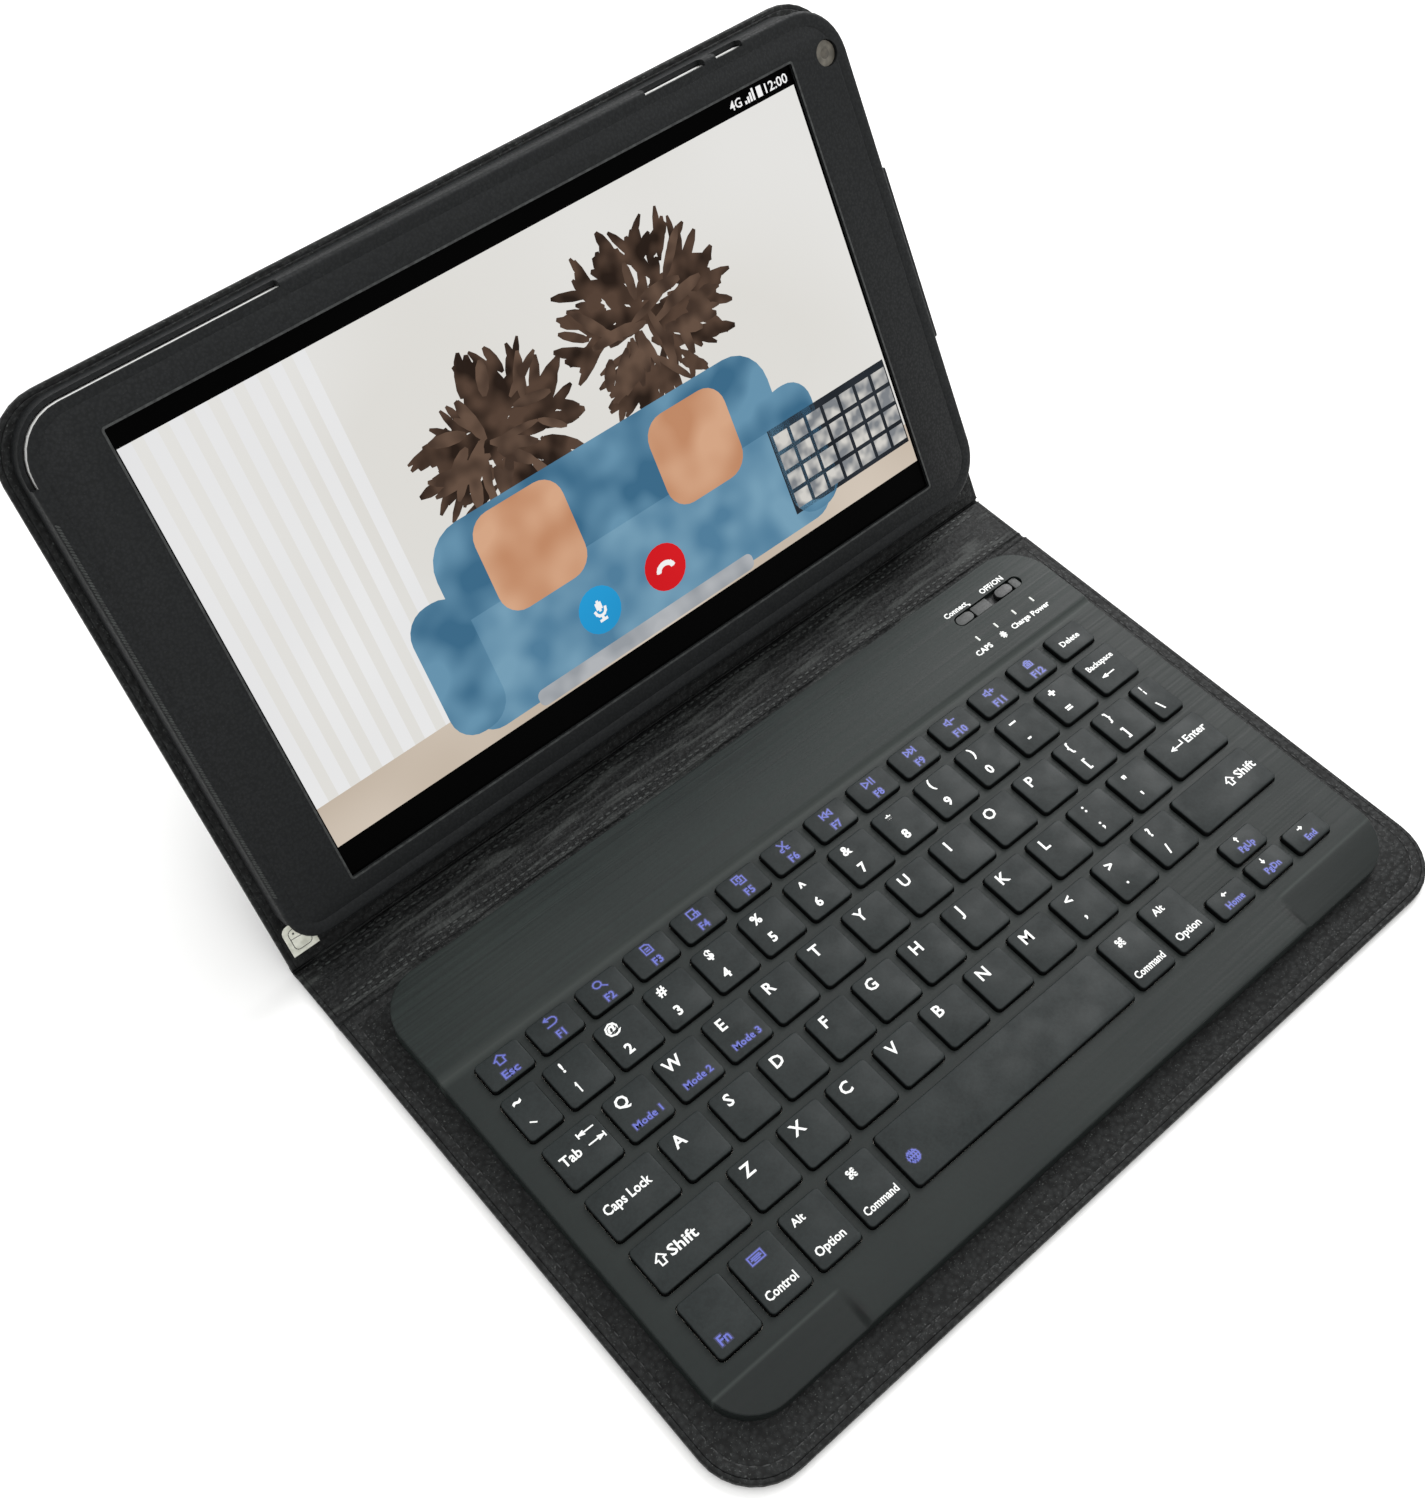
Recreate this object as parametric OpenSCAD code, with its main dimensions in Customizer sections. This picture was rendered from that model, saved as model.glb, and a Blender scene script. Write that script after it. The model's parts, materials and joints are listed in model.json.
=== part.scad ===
// Folio keyboard case with a tablet in its holder.
// Frame: origin at the centre of the lower panel's underside, +X to the typist's right,
// +Y back towards the spine, +Z up. Millimetres.
// The lid and all it carries are drawn lying flat behind the spine and then turned up about
// the rear crease by lid_tilt. The stand leg is drawn folded flush into the lid panel and
// then turned out until its end meets the ground.

/* [Cover] */
// Side edge of the cover to the holder, at least
holder_side = 3.5; // [2:0.5:20]
// Side edge of the cover to the keyboard housing, at least
deck_side = 9.5; // [4:0.5:25]
// Front edge of the cover to the keyboard housing
deck_front = 12.25; // [4:0.25:25]
// Keyboard housing to the front crease
deck_setback = 3.75; // [2.5:0.25:6]
// Rear crease to the bottom edge of the holder
holder_setback = 9.9; // [8:0.1:12]
// Top edge of the holder to the top edge of the lid
holder_top = 2.1; // [1:0.1:10]
// Corner radius of the cover panels
cover_r = 17; // [8:0.5:24]
// Thickness of the outer leatherette
skin_t = 0.7; // [0.5:0.1:1.2]
// Thickness of the stiffening boards
board_t = 1.3; // [1:0.1:2.5]
// Thickness of the inner leatherette
lining_t = 0.6; // [0.4:0.1:1]
// Thickness of the strip of board in the spine
spine_board_t = 0.7; // [0.5:0.1:1]
// Width of the rim of skin that is turned up round a board
skin_rim = 1.4; // [1:0.1:3]
// Bare skin on each side of a crease
crease_gap = 1.6; // [1.6:0.1:2.5]
// Room between the key tops and the holder when the case is shut
shut_clearance = 0.3; // [0.2:0.1:2]
// Angle of the lid above the ground behind it, in use
lid_tilt = 58.56; // [50:0.5:70]

/* [Keyboard] */
// Distance from key to key along a row
key_pitch = 16.8; // [14:0.1:20.5]
// Distance from row to row
row_pitch = 17.2; // [15:0.1:20.7]
// Space between two caps
key_gap = 2.9; // [2.4:0.1:3.4]
// Corner radius of a cap
cap_r = 1.3; // [0.5:0.1:2]
// Height of a cap
cap_h = 2.6; // [2.4:0.1:3]
// Thickness of a cap's top
cap_top_t = 1; // [0.8:0.1:1.2]
// Thickness of a cap's side walls
cap_wall = 0.9; // [0.7:0.1:1.1]
// How far the caps stand above the deck
key_proud = 1.6; // [1.5:0.1:1.9]
// How far a key travels
key_travel = 1.5; // [1:0.1:1.5]
// Clearance all round a cap in its opening
cap_clearance = 0.35; // [0.25:0.05:0.5]
// Front-to-back depth of the caps in the bottom row
bottom_cap_d = 17.1; // [15:0.1:18]
// Front-to-back depth of the caps in the function row
function_cap_d = 9.4; // [8:0.1:10]
// Front-to-back depth of the arrow caps
arrow_cap_d = 7.7; // [7:0.1:8]

/* [Keyboard housing] */
// Left side of the housing to the first key
field_left = 7.7; // [5:0.1:12]
// Last key to the right side of the housing
field_right = 9.3; // [5:0.1:12]
// Bottom row of keys to the front of the housing
field_front = 15.7; // [12:0.1:25]
// Rear of the housing to the middle of the number row
field_rear = 53.7; // [50:0.1:60]
// Corner radius of the keyboard housing
deck_r = 14; // [6:0.5:18]
// Height of the housing, ground plate to deck
deck_h = 5.6; // [5.4:0.1:7]
// Extra height of the rear band
band_rise = 0.8; // [0.2:0.1:1.2]
// Front-to-back depth of the rear band
band_d = 32.5; // [30:0.5:33]
// Thickness of the deck plate
deck_t = 1.2; // [1:0.1:1.4]
// Thickness of the housing's side walls
deck_wall = 1.4; // [1:0.1:2]
// Thickness of the ground plate
floor_t = 0.8; // [0.6:0.1:1]
// Thickness of the adhesive pads
pad_t = 0.4; // [0.2:0.1:1]

/* [Switch and lamps] */
// Right side of the housing to the centre of the switch slot
switch_side = 24; // [20:0.5:40]
// Rear edge of the housing to the centre of the switch slot
switch_setback = 12; // [9:0.5:14]
// Length of the switch slot
switch_slot_l = 28; // [24:0.5:32]
// Width of the switch slot
switch_slot_w = 4.4; // [4:0.1:5]
// Travel of the power switch
switch_travel = 2.5; // [2:0.1:3]
// Travel of the connect button
button_travel = 0.5; // [0.3:0.1:0.6]
// Distance between two indicator lamps
lamp_pitch = 7.9; // [6:0.1:8.5]

/* [Tablet and holder] */
// Width of the tablet
tablet_w = 255.6; // [210:0.1:310]
// Height of the tablet
tablet_h = 152.1; // [150:0.1:185]
// Corner radius of the holder
holder_r = 15.5; // [10:0.5:18]
// Thickness of the holder's walls
holder_wall = 1.2; // [0.8:0.1:1.5]
// Thickness of the holder's face
holder_face_t = 1; // [0.8:0.1:1.2]
// Left edge of the tablet to the screen window
window_left = 19.55; // [10:0.05:25]
// Screen window to the right edge of the tablet
window_right = 18.35; // [12:0.05:25]
// Bottom edge of the tablet to the screen window
window_bottom = 8.1; // [6:0.1:15]
// Screen window to the top edge of the tablet
window_top = 10.1; // [6:0.1:20]
// Radius of the camera hole
camera_hole_r = 3.7; // [2:0.1:4]
// Thickness of the tablet
tablet_t = 8.4; // [7.5:0.1:9.5]
// Room between the tablet and the holder's walls
tablet_clearance = 0.5; // [0.3:0.1:1]
// Room in front of the tablet and behind it
tablet_slack = 0.1; // [0.05:0.05:0.3]
// Wall thickness of the tablet's shell
shell_t = 1.2; // [1:0.1:1.5]
// Thickness of the tablet's glass
glass_t = 0.7; // [0.5:0.1:1]
// Travel of the tablet's side keys
side_key_travel = 0.4; // [0.2:0.1:0.5]

/* [Stand] */
// Width of the stand leg
leg_w = 92; // [60:1:140]
// Rear crease to the leg's hinge, along the lid
leg_pivot = 104; // [90:1:130]
// How far the open leg leans back from upright
leg_lean = 23; // [18:1:28]
// Clearance round the folded leg
leg_clearance = 0.4; // [0.3:0.1:1]

/* [Hidden] */
$fn = 48;
eps = 0.01;

// Key field: 13.69 keys wide, four rows of letter caps, then the taller bottom row
field_w = 13.69 * key_pitch;
row_squeeze = 0.3;
bottom_row_gap = 0.8;
arrow_drop = 0.7;
arrow_gap = 1.5;
letter_w = key_pitch - key_gap;
letter_d = row_pitch - key_gap - row_squeeze;
field_d = 3 * row_pitch + letter_d / 2 + key_gap + bottom_row_gap + bottom_cap_d + arrow_drop;

// The housing is sized by its keys, the holder by its tablet, and the cover by the two of them
deck_w = field_left + field_w + field_right;
deck_d = field_front + field_d + field_rear;
holder_w = tablet_w + 2 * (holder_wall + tablet_clearance);
holder_h = tablet_h + 2 * (holder_wall + tablet_clearance);
cover_w = max(holder_w + 2 * holder_side, deck_w + 2 * deck_side);
panel_d = deck_front + deck_d + deck_setback;
lid_d = holder_setback + holder_h + holder_top;

// Heights of the lower panel and of the keyboard on it
panel_t = skin_t + board_t + lining_t;
deck_z0 = panel_t + pad_t;
deck_z1 = deck_z0 + deck_h;
key_top_z = deck_z1 + key_proud;
cap_z0 = key_top_z - cap_h;
deck_y1 = panel_d / 2 - deck_setback;
deck_y0 = deck_y1 - deck_d;
deck_cy = (deck_y0 + deck_y1) / 2;
band_z = deck_z1 + band_rise;
band_ramp = 3;

// The housing's front corners slope down on each side of a flat middle
front_ramp_l = 40.5;
front_ramp_d = 11;
front_ramp_drop = 1.4;

// Heights of the lid's layers, lying flat: panel, tablet, holder face
tablet_z0 = panel_t + tablet_slack;
tablet_z1 = tablet_z0 + tablet_t;
face_z0 = tablet_z1 + tablet_slack;
lid_t = face_z0 + holder_face_t;

// Creases: the skin's inner face is the line that the cover bends about
crease_z = skin_t;
spine_w = key_top_z + shut_clearance + lid_t - 2 * skin_t;
front_crease_y = panel_d / 2;
rear_crease_y = front_crease_y + spine_w;
spine_y0 = front_crease_y + crease_gap;
spine_d = spine_w - 2 * crease_gap;
spine_board_inset = 0.8;

// Holder and tablet, lying flat
holder_y0 = rear_crease_y + holder_setback;
holder_y1 = holder_y0 + holder_h;
holder_cy = (holder_y0 + holder_y1) / 2;
holder_straight_x = holder_w / 2 - holder_r;
tablet_r = holder_r - holder_wall - tablet_clearance;
tablet_y0 = holder_cy - tablet_h / 2;
tablet_y1 = holder_cy + tablet_h / 2;
tablet_front_z = tablet_z1 - glass_t;
window_w = tablet_w - window_left - window_right;
window_h = tablet_h - window_bottom - window_top;
window_x = (window_left - window_right) / 2;
window_cy = tablet_y0 + window_bottom + window_h / 2;
camera_x = holder_w / 2 - 7.2;
camera_y = holder_y1 - 14;
camera_r = 2.6;
camera_t = 2;
display_t = 1.8;
display_margin = 1;

// Inside the tablet: the battery fills what the circuit board at its right leaves
tablet_board_w = 50;
tablet_board_h = 110;
tablet_board_t = 1.2;
tablet_board_side = 16.8;
tablet_battery_side = 32.8;
tablet_battery_gap = 6;
tablet_battery_t = 3.4;
tablet_inside_bottom = 18;
tablet_inside_top = 34;

// Slots in the holder's top wall, open to the front, and the side keys behind two of them
slot_d = 2.4;
slot_z0 = face_z0 - slot_d;
corner_slot_l = 75.7;
corner_slot_drop = 1.5;
slot_margin = 0.1;
volume_slot = [window_x + 61, window_x + 82];
power_slot = [window_x + 86, window_x + 95.5];
side_key_w = 1.3;
side_key_z = slot_z0 + 0.8;
side_key_proud = 0.2;
side_key_inset = 1.5;

// Retaining flap at the open right side of the holder
flap_l = 54;
flap_y0 = window_cy - window_h / 2 + 40.5;
flap_t = 2.2;
flap_lap = 0.2;

// Stand leg: as long as it takes for its inner edge to reach the ground
leg_t = skin_t + board_t - 0.1;
leg_open = 90 + leg_lean - lid_tilt;
leg_pivot_y = rear_crease_y + leg_pivot;
leg_pivot_world_z = crease_z + leg_pivot * sin(lid_tilt) - crease_z * cos(lid_tilt);
leg_l = (leg_pivot_world_z - leg_t * sin(leg_lean)) / cos(leg_lean);
leg_skin_t = 0.6;
leg_lining_t = 0.4;
leg_r = 6;

// Places of the rows. Every row starts at the same left edge
field_x0 = -deck_w / 2 + field_left;
field_y0 = deck_y0 + field_front;
number_y = deck_y1 - field_rear;
function_y = number_y + letter_d / 2 + key_gap + function_cap_d / 2;
bottom_y = field_y0 + arrow_drop + bottom_cap_d / 2;
arrow_low_y = field_y0 + arrow_cap_d / 2;
arrow_high_y = arrow_low_y + arrow_cap_d + arrow_gap;

// Widths of the wide caps, and where the cap after each begins
grave_w = 0.63 * key_pitch;
tab_w = 0.976 * key_pitch;
caps_w = 1.228 * key_pitch;
shift_w = 1.704 * key_pitch;
function_pitch = 0.982 * key_pitch;
function_w = function_pitch - key_gap;
function_x0 = field_x0 + (field_w - 13 * function_pitch - function_w) / 2;
modifier_pitch = 0.973 * key_pitch;
modifier_w = modifier_pitch - key_gap;
space_x0 = field_x0 + 4 * modifier_pitch;
space_w = 4.8 * key_pitch;
right_modifier_x0 = space_x0 + space_w + key_gap;
arrow_x0 = right_modifier_x0 + 2 * modifier_pitch;

// A cap is [left edge, centre y, width, depth]
function row(x0, y, count, w = letter_w, pitch = key_pitch, d = letter_d) =
    [for (i = [0:count - 1]) [x0 + i * pitch, y, w, d]];
function after(w) = field_x0 + w + key_gap;
function to_field_end(x0, y) = [x0, y, field_x0 + field_w - x0, letter_d];

number_row_y = [for (i = [0:3]) number_y - i * row_pitch];

escape_caps = row(function_x0, function_y, 1, function_w, function_pitch, function_cap_d);
function_caps = row(function_x0 + function_pitch, function_y, 12, function_w, function_pitch,
    function_cap_d);
delete_caps = row(function_x0 + 13 * function_pitch, function_y, 1, function_w, function_pitch,
    function_cap_d);
number_caps = concat([[field_x0, number_y, grave_w, letter_d]],
    row(after(grave_w), number_row_y[0], 12));
backspace_caps = [to_field_end(after(grave_w) + 12 * key_pitch, number_row_y[0])];
tab_caps = [[field_x0, number_row_y[1], tab_w, letter_d]];
top_caps = concat(row(after(tab_w), number_row_y[1], 12),
    [to_field_end(after(tab_w) + 12 * key_pitch, number_row_y[1])]);
caps_lock_caps = [[field_x0, number_row_y[2], caps_w, letter_d]];
home_caps = row(after(caps_w), number_row_y[2], 11);
enter_caps = [to_field_end(after(caps_w) + 11 * key_pitch, number_row_y[2])];
left_shift_caps = [[field_x0, number_row_y[3], shift_w, letter_d]];
lower_caps = row(after(shift_w), number_row_y[3], 10);
right_shift_caps = [to_field_end(after(shift_w) + 10 * key_pitch, number_row_y[3])];
left_modifier_caps = row(field_x0, bottom_y, 4, modifier_w, modifier_pitch, bottom_cap_d);
space_caps = [[space_x0, bottom_y, space_w, bottom_cap_d]];
right_modifier_caps = row(right_modifier_x0, bottom_y, 2, modifier_w, modifier_pitch,
    bottom_cap_d);
arrow_caps = concat(row(arrow_x0, arrow_low_y, 3, modifier_w, modifier_pitch, arrow_cap_d),
    [[arrow_x0 + modifier_pitch, arrow_high_y, modifier_w, arrow_cap_d]]);

all_caps = concat(escape_caps, function_caps, delete_caps, number_caps, backspace_caps,
    tab_caps, top_caps, caps_lock_caps, home_caps, enter_caps, left_shift_caps, lower_caps,
    right_shift_caps, left_modifier_caps, space_caps, right_modifier_caps, arrow_caps);

// Layers inside the keyboard housing
pillar_h = 0.8;
pillar_r = 1.5;
backplate_z = deck_z0 + floor_t + pillar_h;
backplate_t = 0.4;
membrane_z = backplate_z + backplate_t;
membrane_t = 0.3;
dome_z = membrane_z + membrane_t;
dome_sheet_t = 0.15;
dome_h = 1;
dome_r = 2;
link_z = dome_z + dome_sheet_t;
link_t = 0.3;
link_w = 5.8;
link_hole_r = 2.3;
key_layer_margin = 1.2;
key_layer_y1 = function_y + function_cap_d / 2 + key_layer_margin;
key_layer_y0 = field_y0 - key_layer_margin;
key_layer_d = key_layer_y1 - key_layer_y0;
pillar_side = 27;
pillar_end = 16;
pillar_x = [for (i = [-1.5:1:1.5]) i * (field_w + 4 - 2 * pillar_side) / 3];
pillar_y = [for (i = [-1.5:1:1.5])
    (key_layer_y0 + key_layer_y1) / 2 + i * (key_layer_d - 2 * pillar_end) / 3];
cavity_front = 9;
cavity_z1 = deck_z1 - deck_t;
board_post_h = 0.5;
board_post_inset = 4;
board_z = deck_z0 + floor_t + board_post_h;
pcb_t = 1;
pcb_w = 62;
pcb_side = 4.2;
pcb_rear = 6.8;
layer_gap = 0.4;
pcb_d = deck_y1 - pcb_rear - key_layer_y1 - layer_gap;
pcb_x = deck_w / 2 - pcb_side - pcb_w / 2;
pcb_y = deck_y1 - pcb_rear - pcb_d / 2;
battery_w = 100;
battery_d = pcb_d;
battery_t = 2.8;
battery_side = 33.5;
socket_w = 7.6;
socket_l = 5.6;
socket_t = 2.6;
socket_wall = 0.4;
socket_inset = 0.4;
socket_gap = 0.2;
socket_y = pcb_y - 1.8;
socket_z = board_z + pcb_t;
knob_w = 6.6;
switch_x = deck_w / 2 - switch_side;
switch_y = deck_y1 - switch_setback;
knob_d = switch_slot_w - 0.8;
knob_x = switch_x + 6.6;
connect_x = switch_x - switch_slot_l / 2 + 0.4 + knob_w / 2;
carrier_z1 = cavity_z1 - 0.1;
control_z0 = carrier_z1 + 0.1 + button_travel;
control_z1 = band_z - 0.15;
lamp_x0 = switch_x - 13.1;
lamp_y = switch_y - 8.2;
lamp_w = 0.8;
lamp_d = 2.2;
screw_r = 0.8;
screw_head_r = 1.6;
screw_head_t = 0.5;
screw_l = 3.2;
boss_r = 2;
screw_x = [-1, 0, 1] * (deck_w / 2 - 12);
screw_y = [deck_y0 + 5, deck_y1 - 4.5];

// ---------------------------------------------------------------- shapes and places

// Rectangle with round corners, centred
module round_rect(w, d, r) {
    square([w - 2 * r, d], center = true);
    square([w, d - 2 * r], center = true);
    for (x = [-1, 1], y = [-1, 1])
        translate([x * (w / 2 - r), y * (d / 2 - r)]) circle(r);
}

// Cover panel: straight edge on y = 0, round corners at y = d
module panel_2d(w, d, r) {
    translate([-w / 2, 0]) square([w, d - r]);
    translate([-w / 2 + r, 0]) square([w - 2 * r, d]);
    for (x = [-1, 1]) translate([x * (w / 2 - r), d - r]) circle(r);
}

// The same panel drawn in by i on its three free sides
module panel_inset_2d(w, d, r, i) {
    panel_2d(w - 2 * i, d - i, r - i);
}

// Slab from z0 to z1 of a 2D shape
module slab(z0, z1) {
    translate([0, 0, z0]) linear_extrude(z1 - z0) children();
}

// Lower panel's shapes run forwards from the front crease
module at_lower() {
    translate([0, front_crease_y - crease_gap, 0]) mirror([0, 1, 0]) children();
}

// Lid panel's shapes run back from the rear crease, lying flat
module at_lid_panel() {
    translate([0, rear_crease_y + crease_gap, 0]) children();
}

// Turns what lies flat behind the spine up to the angle of use
module lid_up() {
    translate([0, rear_crease_y, crease_z]) rotate([lid_tilt, 0, 0])
        translate([0, -rear_crease_y, -crease_z]) children();
}

// Turns the folded leg out of the lid panel, then up with the lid
module leg_out() {
    lid_up() translate([0, leg_pivot_y, 0]) rotate([leg_open, 0, 0])
        translate([0, -leg_pivot_y, 0]) children();
}

// Outline of the leg, lying folded, grown by g all round
module leg_2d(g) {
    translate([0, leg_pivot_y - leg_l / 2])
        round_rect(leg_w + 2 * g, leg_l + 2 * g, leg_r + g);
}

// Stiff sheet of skin with its edge turned up round the board
module skin_tray(w, d, r) {
    difference() {
        slab(0, skin_t + board_t) panel_2d(w, d, r);
        slab(skin_t, skin_t + board_t + 1)
            translate([0, -eps]) panel_inset_2d(w, d + eps, r, skin_rim);
    }
}

// One key cap, hollow underneath
module cap(c) {
    translate([c[0] + c[2] / 2, c[1], cap_z0]) difference() {
        linear_extrude(cap_h) round_rect(c[2], c[3], cap_r);
        translate([-c[2] / 2 + cap_wall, -c[3] / 2 + cap_wall, -1])
            cube([c[2] - 2 * cap_wall, c[3] - 2 * cap_wall, 1 + cap_h - cap_top_t]);
    }
}

module caps(list) {
    color("#2d3033") for (c = list) cap(c);
}

module deck_2d(i) {
    translate([0, deck_cy]) round_rect(deck_w - 2 * i, deck_d - 2 * i, deck_r - i);
}

// Stadium along X, centred
module stadium(l, w) {
    square([l - w, w], center = true);
    for (x = [-1, 1]) translate([x * (l - w) / 2, 0]) circle(w / 2);
}

module holder_2d(i) {
    translate([0, holder_cy]) round_rect(holder_w - 2 * i, holder_h - 2 * i, holder_r - i);
}

// Slot through the holder's wall and face, from x0 to x1 and down to y0
module wall_slot(x0, x1, y0) {
    translate([x0, y0, slot_z0]) cube([x1 - x0, holder_y1 + 1 - y0, lid_t - slot_z0 + 1]);
}

module tablet_2d(i) {
    translate([0, holder_cy]) round_rect(tablet_w - 2 * i, tablet_h - 2 * i, tablet_r - i);
}

// Side key of the tablet over x0 to x1, grown by g
module side_key(span, g) {
    translate([span[0] + 1 - g, tablet_y1 - side_key_inset, side_key_z - side_key_w / 2 - g])
        cube([span[1] - span[0] - 2 + 2 * g, side_key_inset + side_key_proud,
            side_key_w + 2 * g]);
}

// ---------------------------------------------------------------- lower panel

module lower_skin() {
    color("#26282a") at_lower() skin_tray(cover_w, panel_d - crease_gap, cover_r);
}

module lower_board() {
    color("#b9a98c") at_lower() slab(skin_t, skin_t + board_t)
        panel_inset_2d(cover_w, panel_d - crease_gap, cover_r, skin_rim + 0.1);
}

module lower_lining() {
    color("#2b2d2f") at_lower() slab(skin_t + board_t, panel_t)
        panel_2d(cover_w, panel_d - crease_gap, cover_r);
}

module front_crease_strip() {
    color("#202224") translate([-cover_w / 2, front_crease_y - crease_gap, 0])
        cube([cover_w, 2 * crease_gap, skin_t]);
}

module adhesive_pads() {
    color("#e8e6df") for (x = [-1, 1], y = [-1, 1])
        translate([x * deck_w / 4, deck_cy + y * (deck_d / 2 - 30), panel_t + pad_t / 2])
            cube([deck_w / 2 - 30, 24, pad_t], center = true);
}

// ---------------------------------------------------------------- keyboard housing

module keyboard_bottom_case() {
    color("#1f2123") difference() {
        union() {
            slab(deck_z0, deck_z0 + floor_t) deck_2d(deck_wall + 0.15);
            for (x = pillar_x, y = pillar_y) translate([x, y, deck_z0 + floor_t - eps])
                cylinder(r = pillar_r, h = pillar_h + eps);
            for (x = [-1, 1], y = [-1, 1])
                translate([pcb_x + x * (pcb_w / 2 - board_post_inset),
                    pcb_y + y * (pcb_d / 2 - board_post_inset), deck_z0 + floor_t - eps])
                    cylinder(r = pillar_r, h = board_post_h + eps);
        }
        for (x = screw_x, y = screw_y) {
            translate([x, y, deck_z0 - 1]) cylinder(r = screw_r + 0.1, h = floor_t + 2);
            translate([x, y, deck_z0 - 1]) cylinder(r = screw_head_r + 0.1, h = 1 + screw_head_t);
        }
    }
}

// Outside of the top case seen from the side: flat deck, ramp, raised rear band
module deck_profile() {
    translate([-deck_w, 0, 0]) rotate([90, 0, 90]) linear_extrude(2 * deck_w) polygon([
        [deck_y0 - 1, deck_z0], [deck_y1 + 1, deck_z0], [deck_y1 + 1, band_z],
        [deck_y1 - band_d + band_ramp, band_z], [deck_y1 - band_d, deck_z1],
        [deck_y0 - 1, deck_z1]
    ]);
}

// What the slope takes off one front corner
module front_ramp(side) {
    translate([side > 0 ? deck_w / 2 - front_ramp_l : -deck_w / 2 - 1, 0, 0])
        rotate([90, 0, 90]) linear_extrude(front_ramp_l + 1) polygon([
            [deck_y0 + front_ramp_d, deck_z1], [deck_y0 + front_ramp_d, deck_z1 + 2],
            [deck_y0 - 1, deck_z1 + 2],
            [deck_y0 - 1, deck_z1 - front_ramp_drop * (1 + 1 / front_ramp_d)]
        ]);
}

module keyboard_top_case() {
    cavity_d = deck_d - cavity_front - deck_wall;
    color("#3a3e41") difference() {
        intersection() {
            slab(deck_z0, band_z + 1) deck_2d(0);
            deck_profile();
        }
        for (side = [-1, 1]) front_ramp(side);
        slab(deck_z0 - 1, deck_z0 + floor_t) deck_2d(deck_wall);
        difference() {
            slab(deck_z0, cavity_z1) intersection() {
                deck_2d(deck_wall);
                translate([0, deck_y1 - deck_wall - cavity_d / 2])
                    square([deck_w, cavity_d], center = true);
            }
            for (x = screw_x) translate([x, screw_y[1], deck_z0]) cylinder(r = boss_r, h = deck_h);
        }
        for (c = all_caps) translate([c[0] + c[2] / 2, c[1], cavity_z1 - 1])
            linear_extrude(deck_t + 2 + band_rise)
                round_rect(c[2] + 2 * cap_clearance, c[3] + 2 * cap_clearance,
                    cap_r + cap_clearance);
        translate([switch_x, switch_y, cavity_z1 - 1]) linear_extrude(deck_h)
            stadium(switch_slot_l, switch_slot_w);
        for (i = [0:3]) translate([lamp_x0 + i * lamp_pitch, lamp_y, cavity_z1])
            cube([lamp_w, lamp_d, deck_h], center = true);
        translate([deck_w / 2 - socket_inset - socket_l - socket_gap,
            socket_y - socket_w / 2 - socket_gap, socket_z - socket_gap])
            cube([socket_l + 2, socket_w + 2 * socket_gap, socket_t + 2 * socket_gap]);
        for (x = screw_x, y = screw_y)
            translate([x, y, deck_z0]) cylinder(r = screw_r, h = screw_l + screw_head_t + 0.3);
    }
}

module key_backplate() {
    color("#9a9ea2") translate([0, key_layer_y1 - key_layer_d / 2, backplate_z + backplate_t / 2])
        cube([field_w + 4, key_layer_d, backplate_t], center = true);
}

module key_membrane() {
    color("#d8dfe4") translate([0, key_layer_y1 - key_layer_d / 2, membrane_z + membrane_t / 2])
        cube([field_w + 3, key_layer_d - 1, membrane_t], center = true);
}

module key_dome_sheet() {
    color("#e9e4da") {
        translate([0, key_layer_y1 - key_layer_d / 2, dome_z + dome_sheet_t / 2])
            cube([field_w + 3, key_layer_d - 1, dome_sheet_t], center = true);
        for (c = all_caps) translate([c[0] + c[2] / 2, c[1], dome_z])
            cylinder(r = dome_r, h = dome_h);
    }
}

// The scissor links lie folded under their caps, one frame a cap
module key_scissor_links() {
    color("#f0efec") for (c = all_caps)
        translate([c[0] + c[2] / 2, c[1], link_z]) difference() {
            translate([-link_w / 2, -link_w / 2, 0]) cube([link_w, link_w, link_t]);
            translate([0, 0, -1]) cylinder(r = link_hole_r, h = 3);
        }
}

module circuit_board() {
    color("#1f5a3a") translate([pcb_x, pcb_y, board_z + pcb_t / 2])
        cube([pcb_w, pcb_d, pcb_t], center = true);
}

module battery() {
    color("#b7bcc2")
        translate([-deck_w / 2 + battery_side, pcb_y - battery_d / 2, deck_z0 + floor_t])
            cube([battery_w, battery_d, battery_t]);
}

module charge_socket() {
    color("#c9ccd0")
        translate([deck_w / 2 - socket_inset - socket_l, socket_y - socket_w / 2, socket_z])
            difference() {
                cube([socket_l, socket_w, socket_t]);
                translate([1, socket_wall, socket_wall])
                    cube([socket_l, socket_w - 2 * socket_wall, socket_t - 2 * socket_wall]);
            }
}

module switch_carrier() {
    color("#141516") translate([switch_x, switch_y, socket_z])
        linear_extrude(carrier_z1 - socket_z) stadium(switch_slot_l + 3, switch_slot_w + 2);
}

module power_switch_knob() {
    color("#2a2c2e") translate([knob_x, switch_y, control_z0])
        linear_extrude(control_z1 - control_z0) stadium(knob_w, knob_d);
}

module connect_button() {
    color("#3a3e41") translate([connect_x, switch_y, control_z0])
        linear_extrude(control_z1 - control_z0) stadium(knob_w, knob_d);
}

module indicator_lenses() {
    color("#c8c8c0") for (i = [0:3])
        translate([lamp_x0 + i * lamp_pitch - lamp_w / 2, lamp_y - lamp_d / 2, cavity_z1])
            cube([lamp_w, lamp_d, band_z - cavity_z1]);
}

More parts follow.
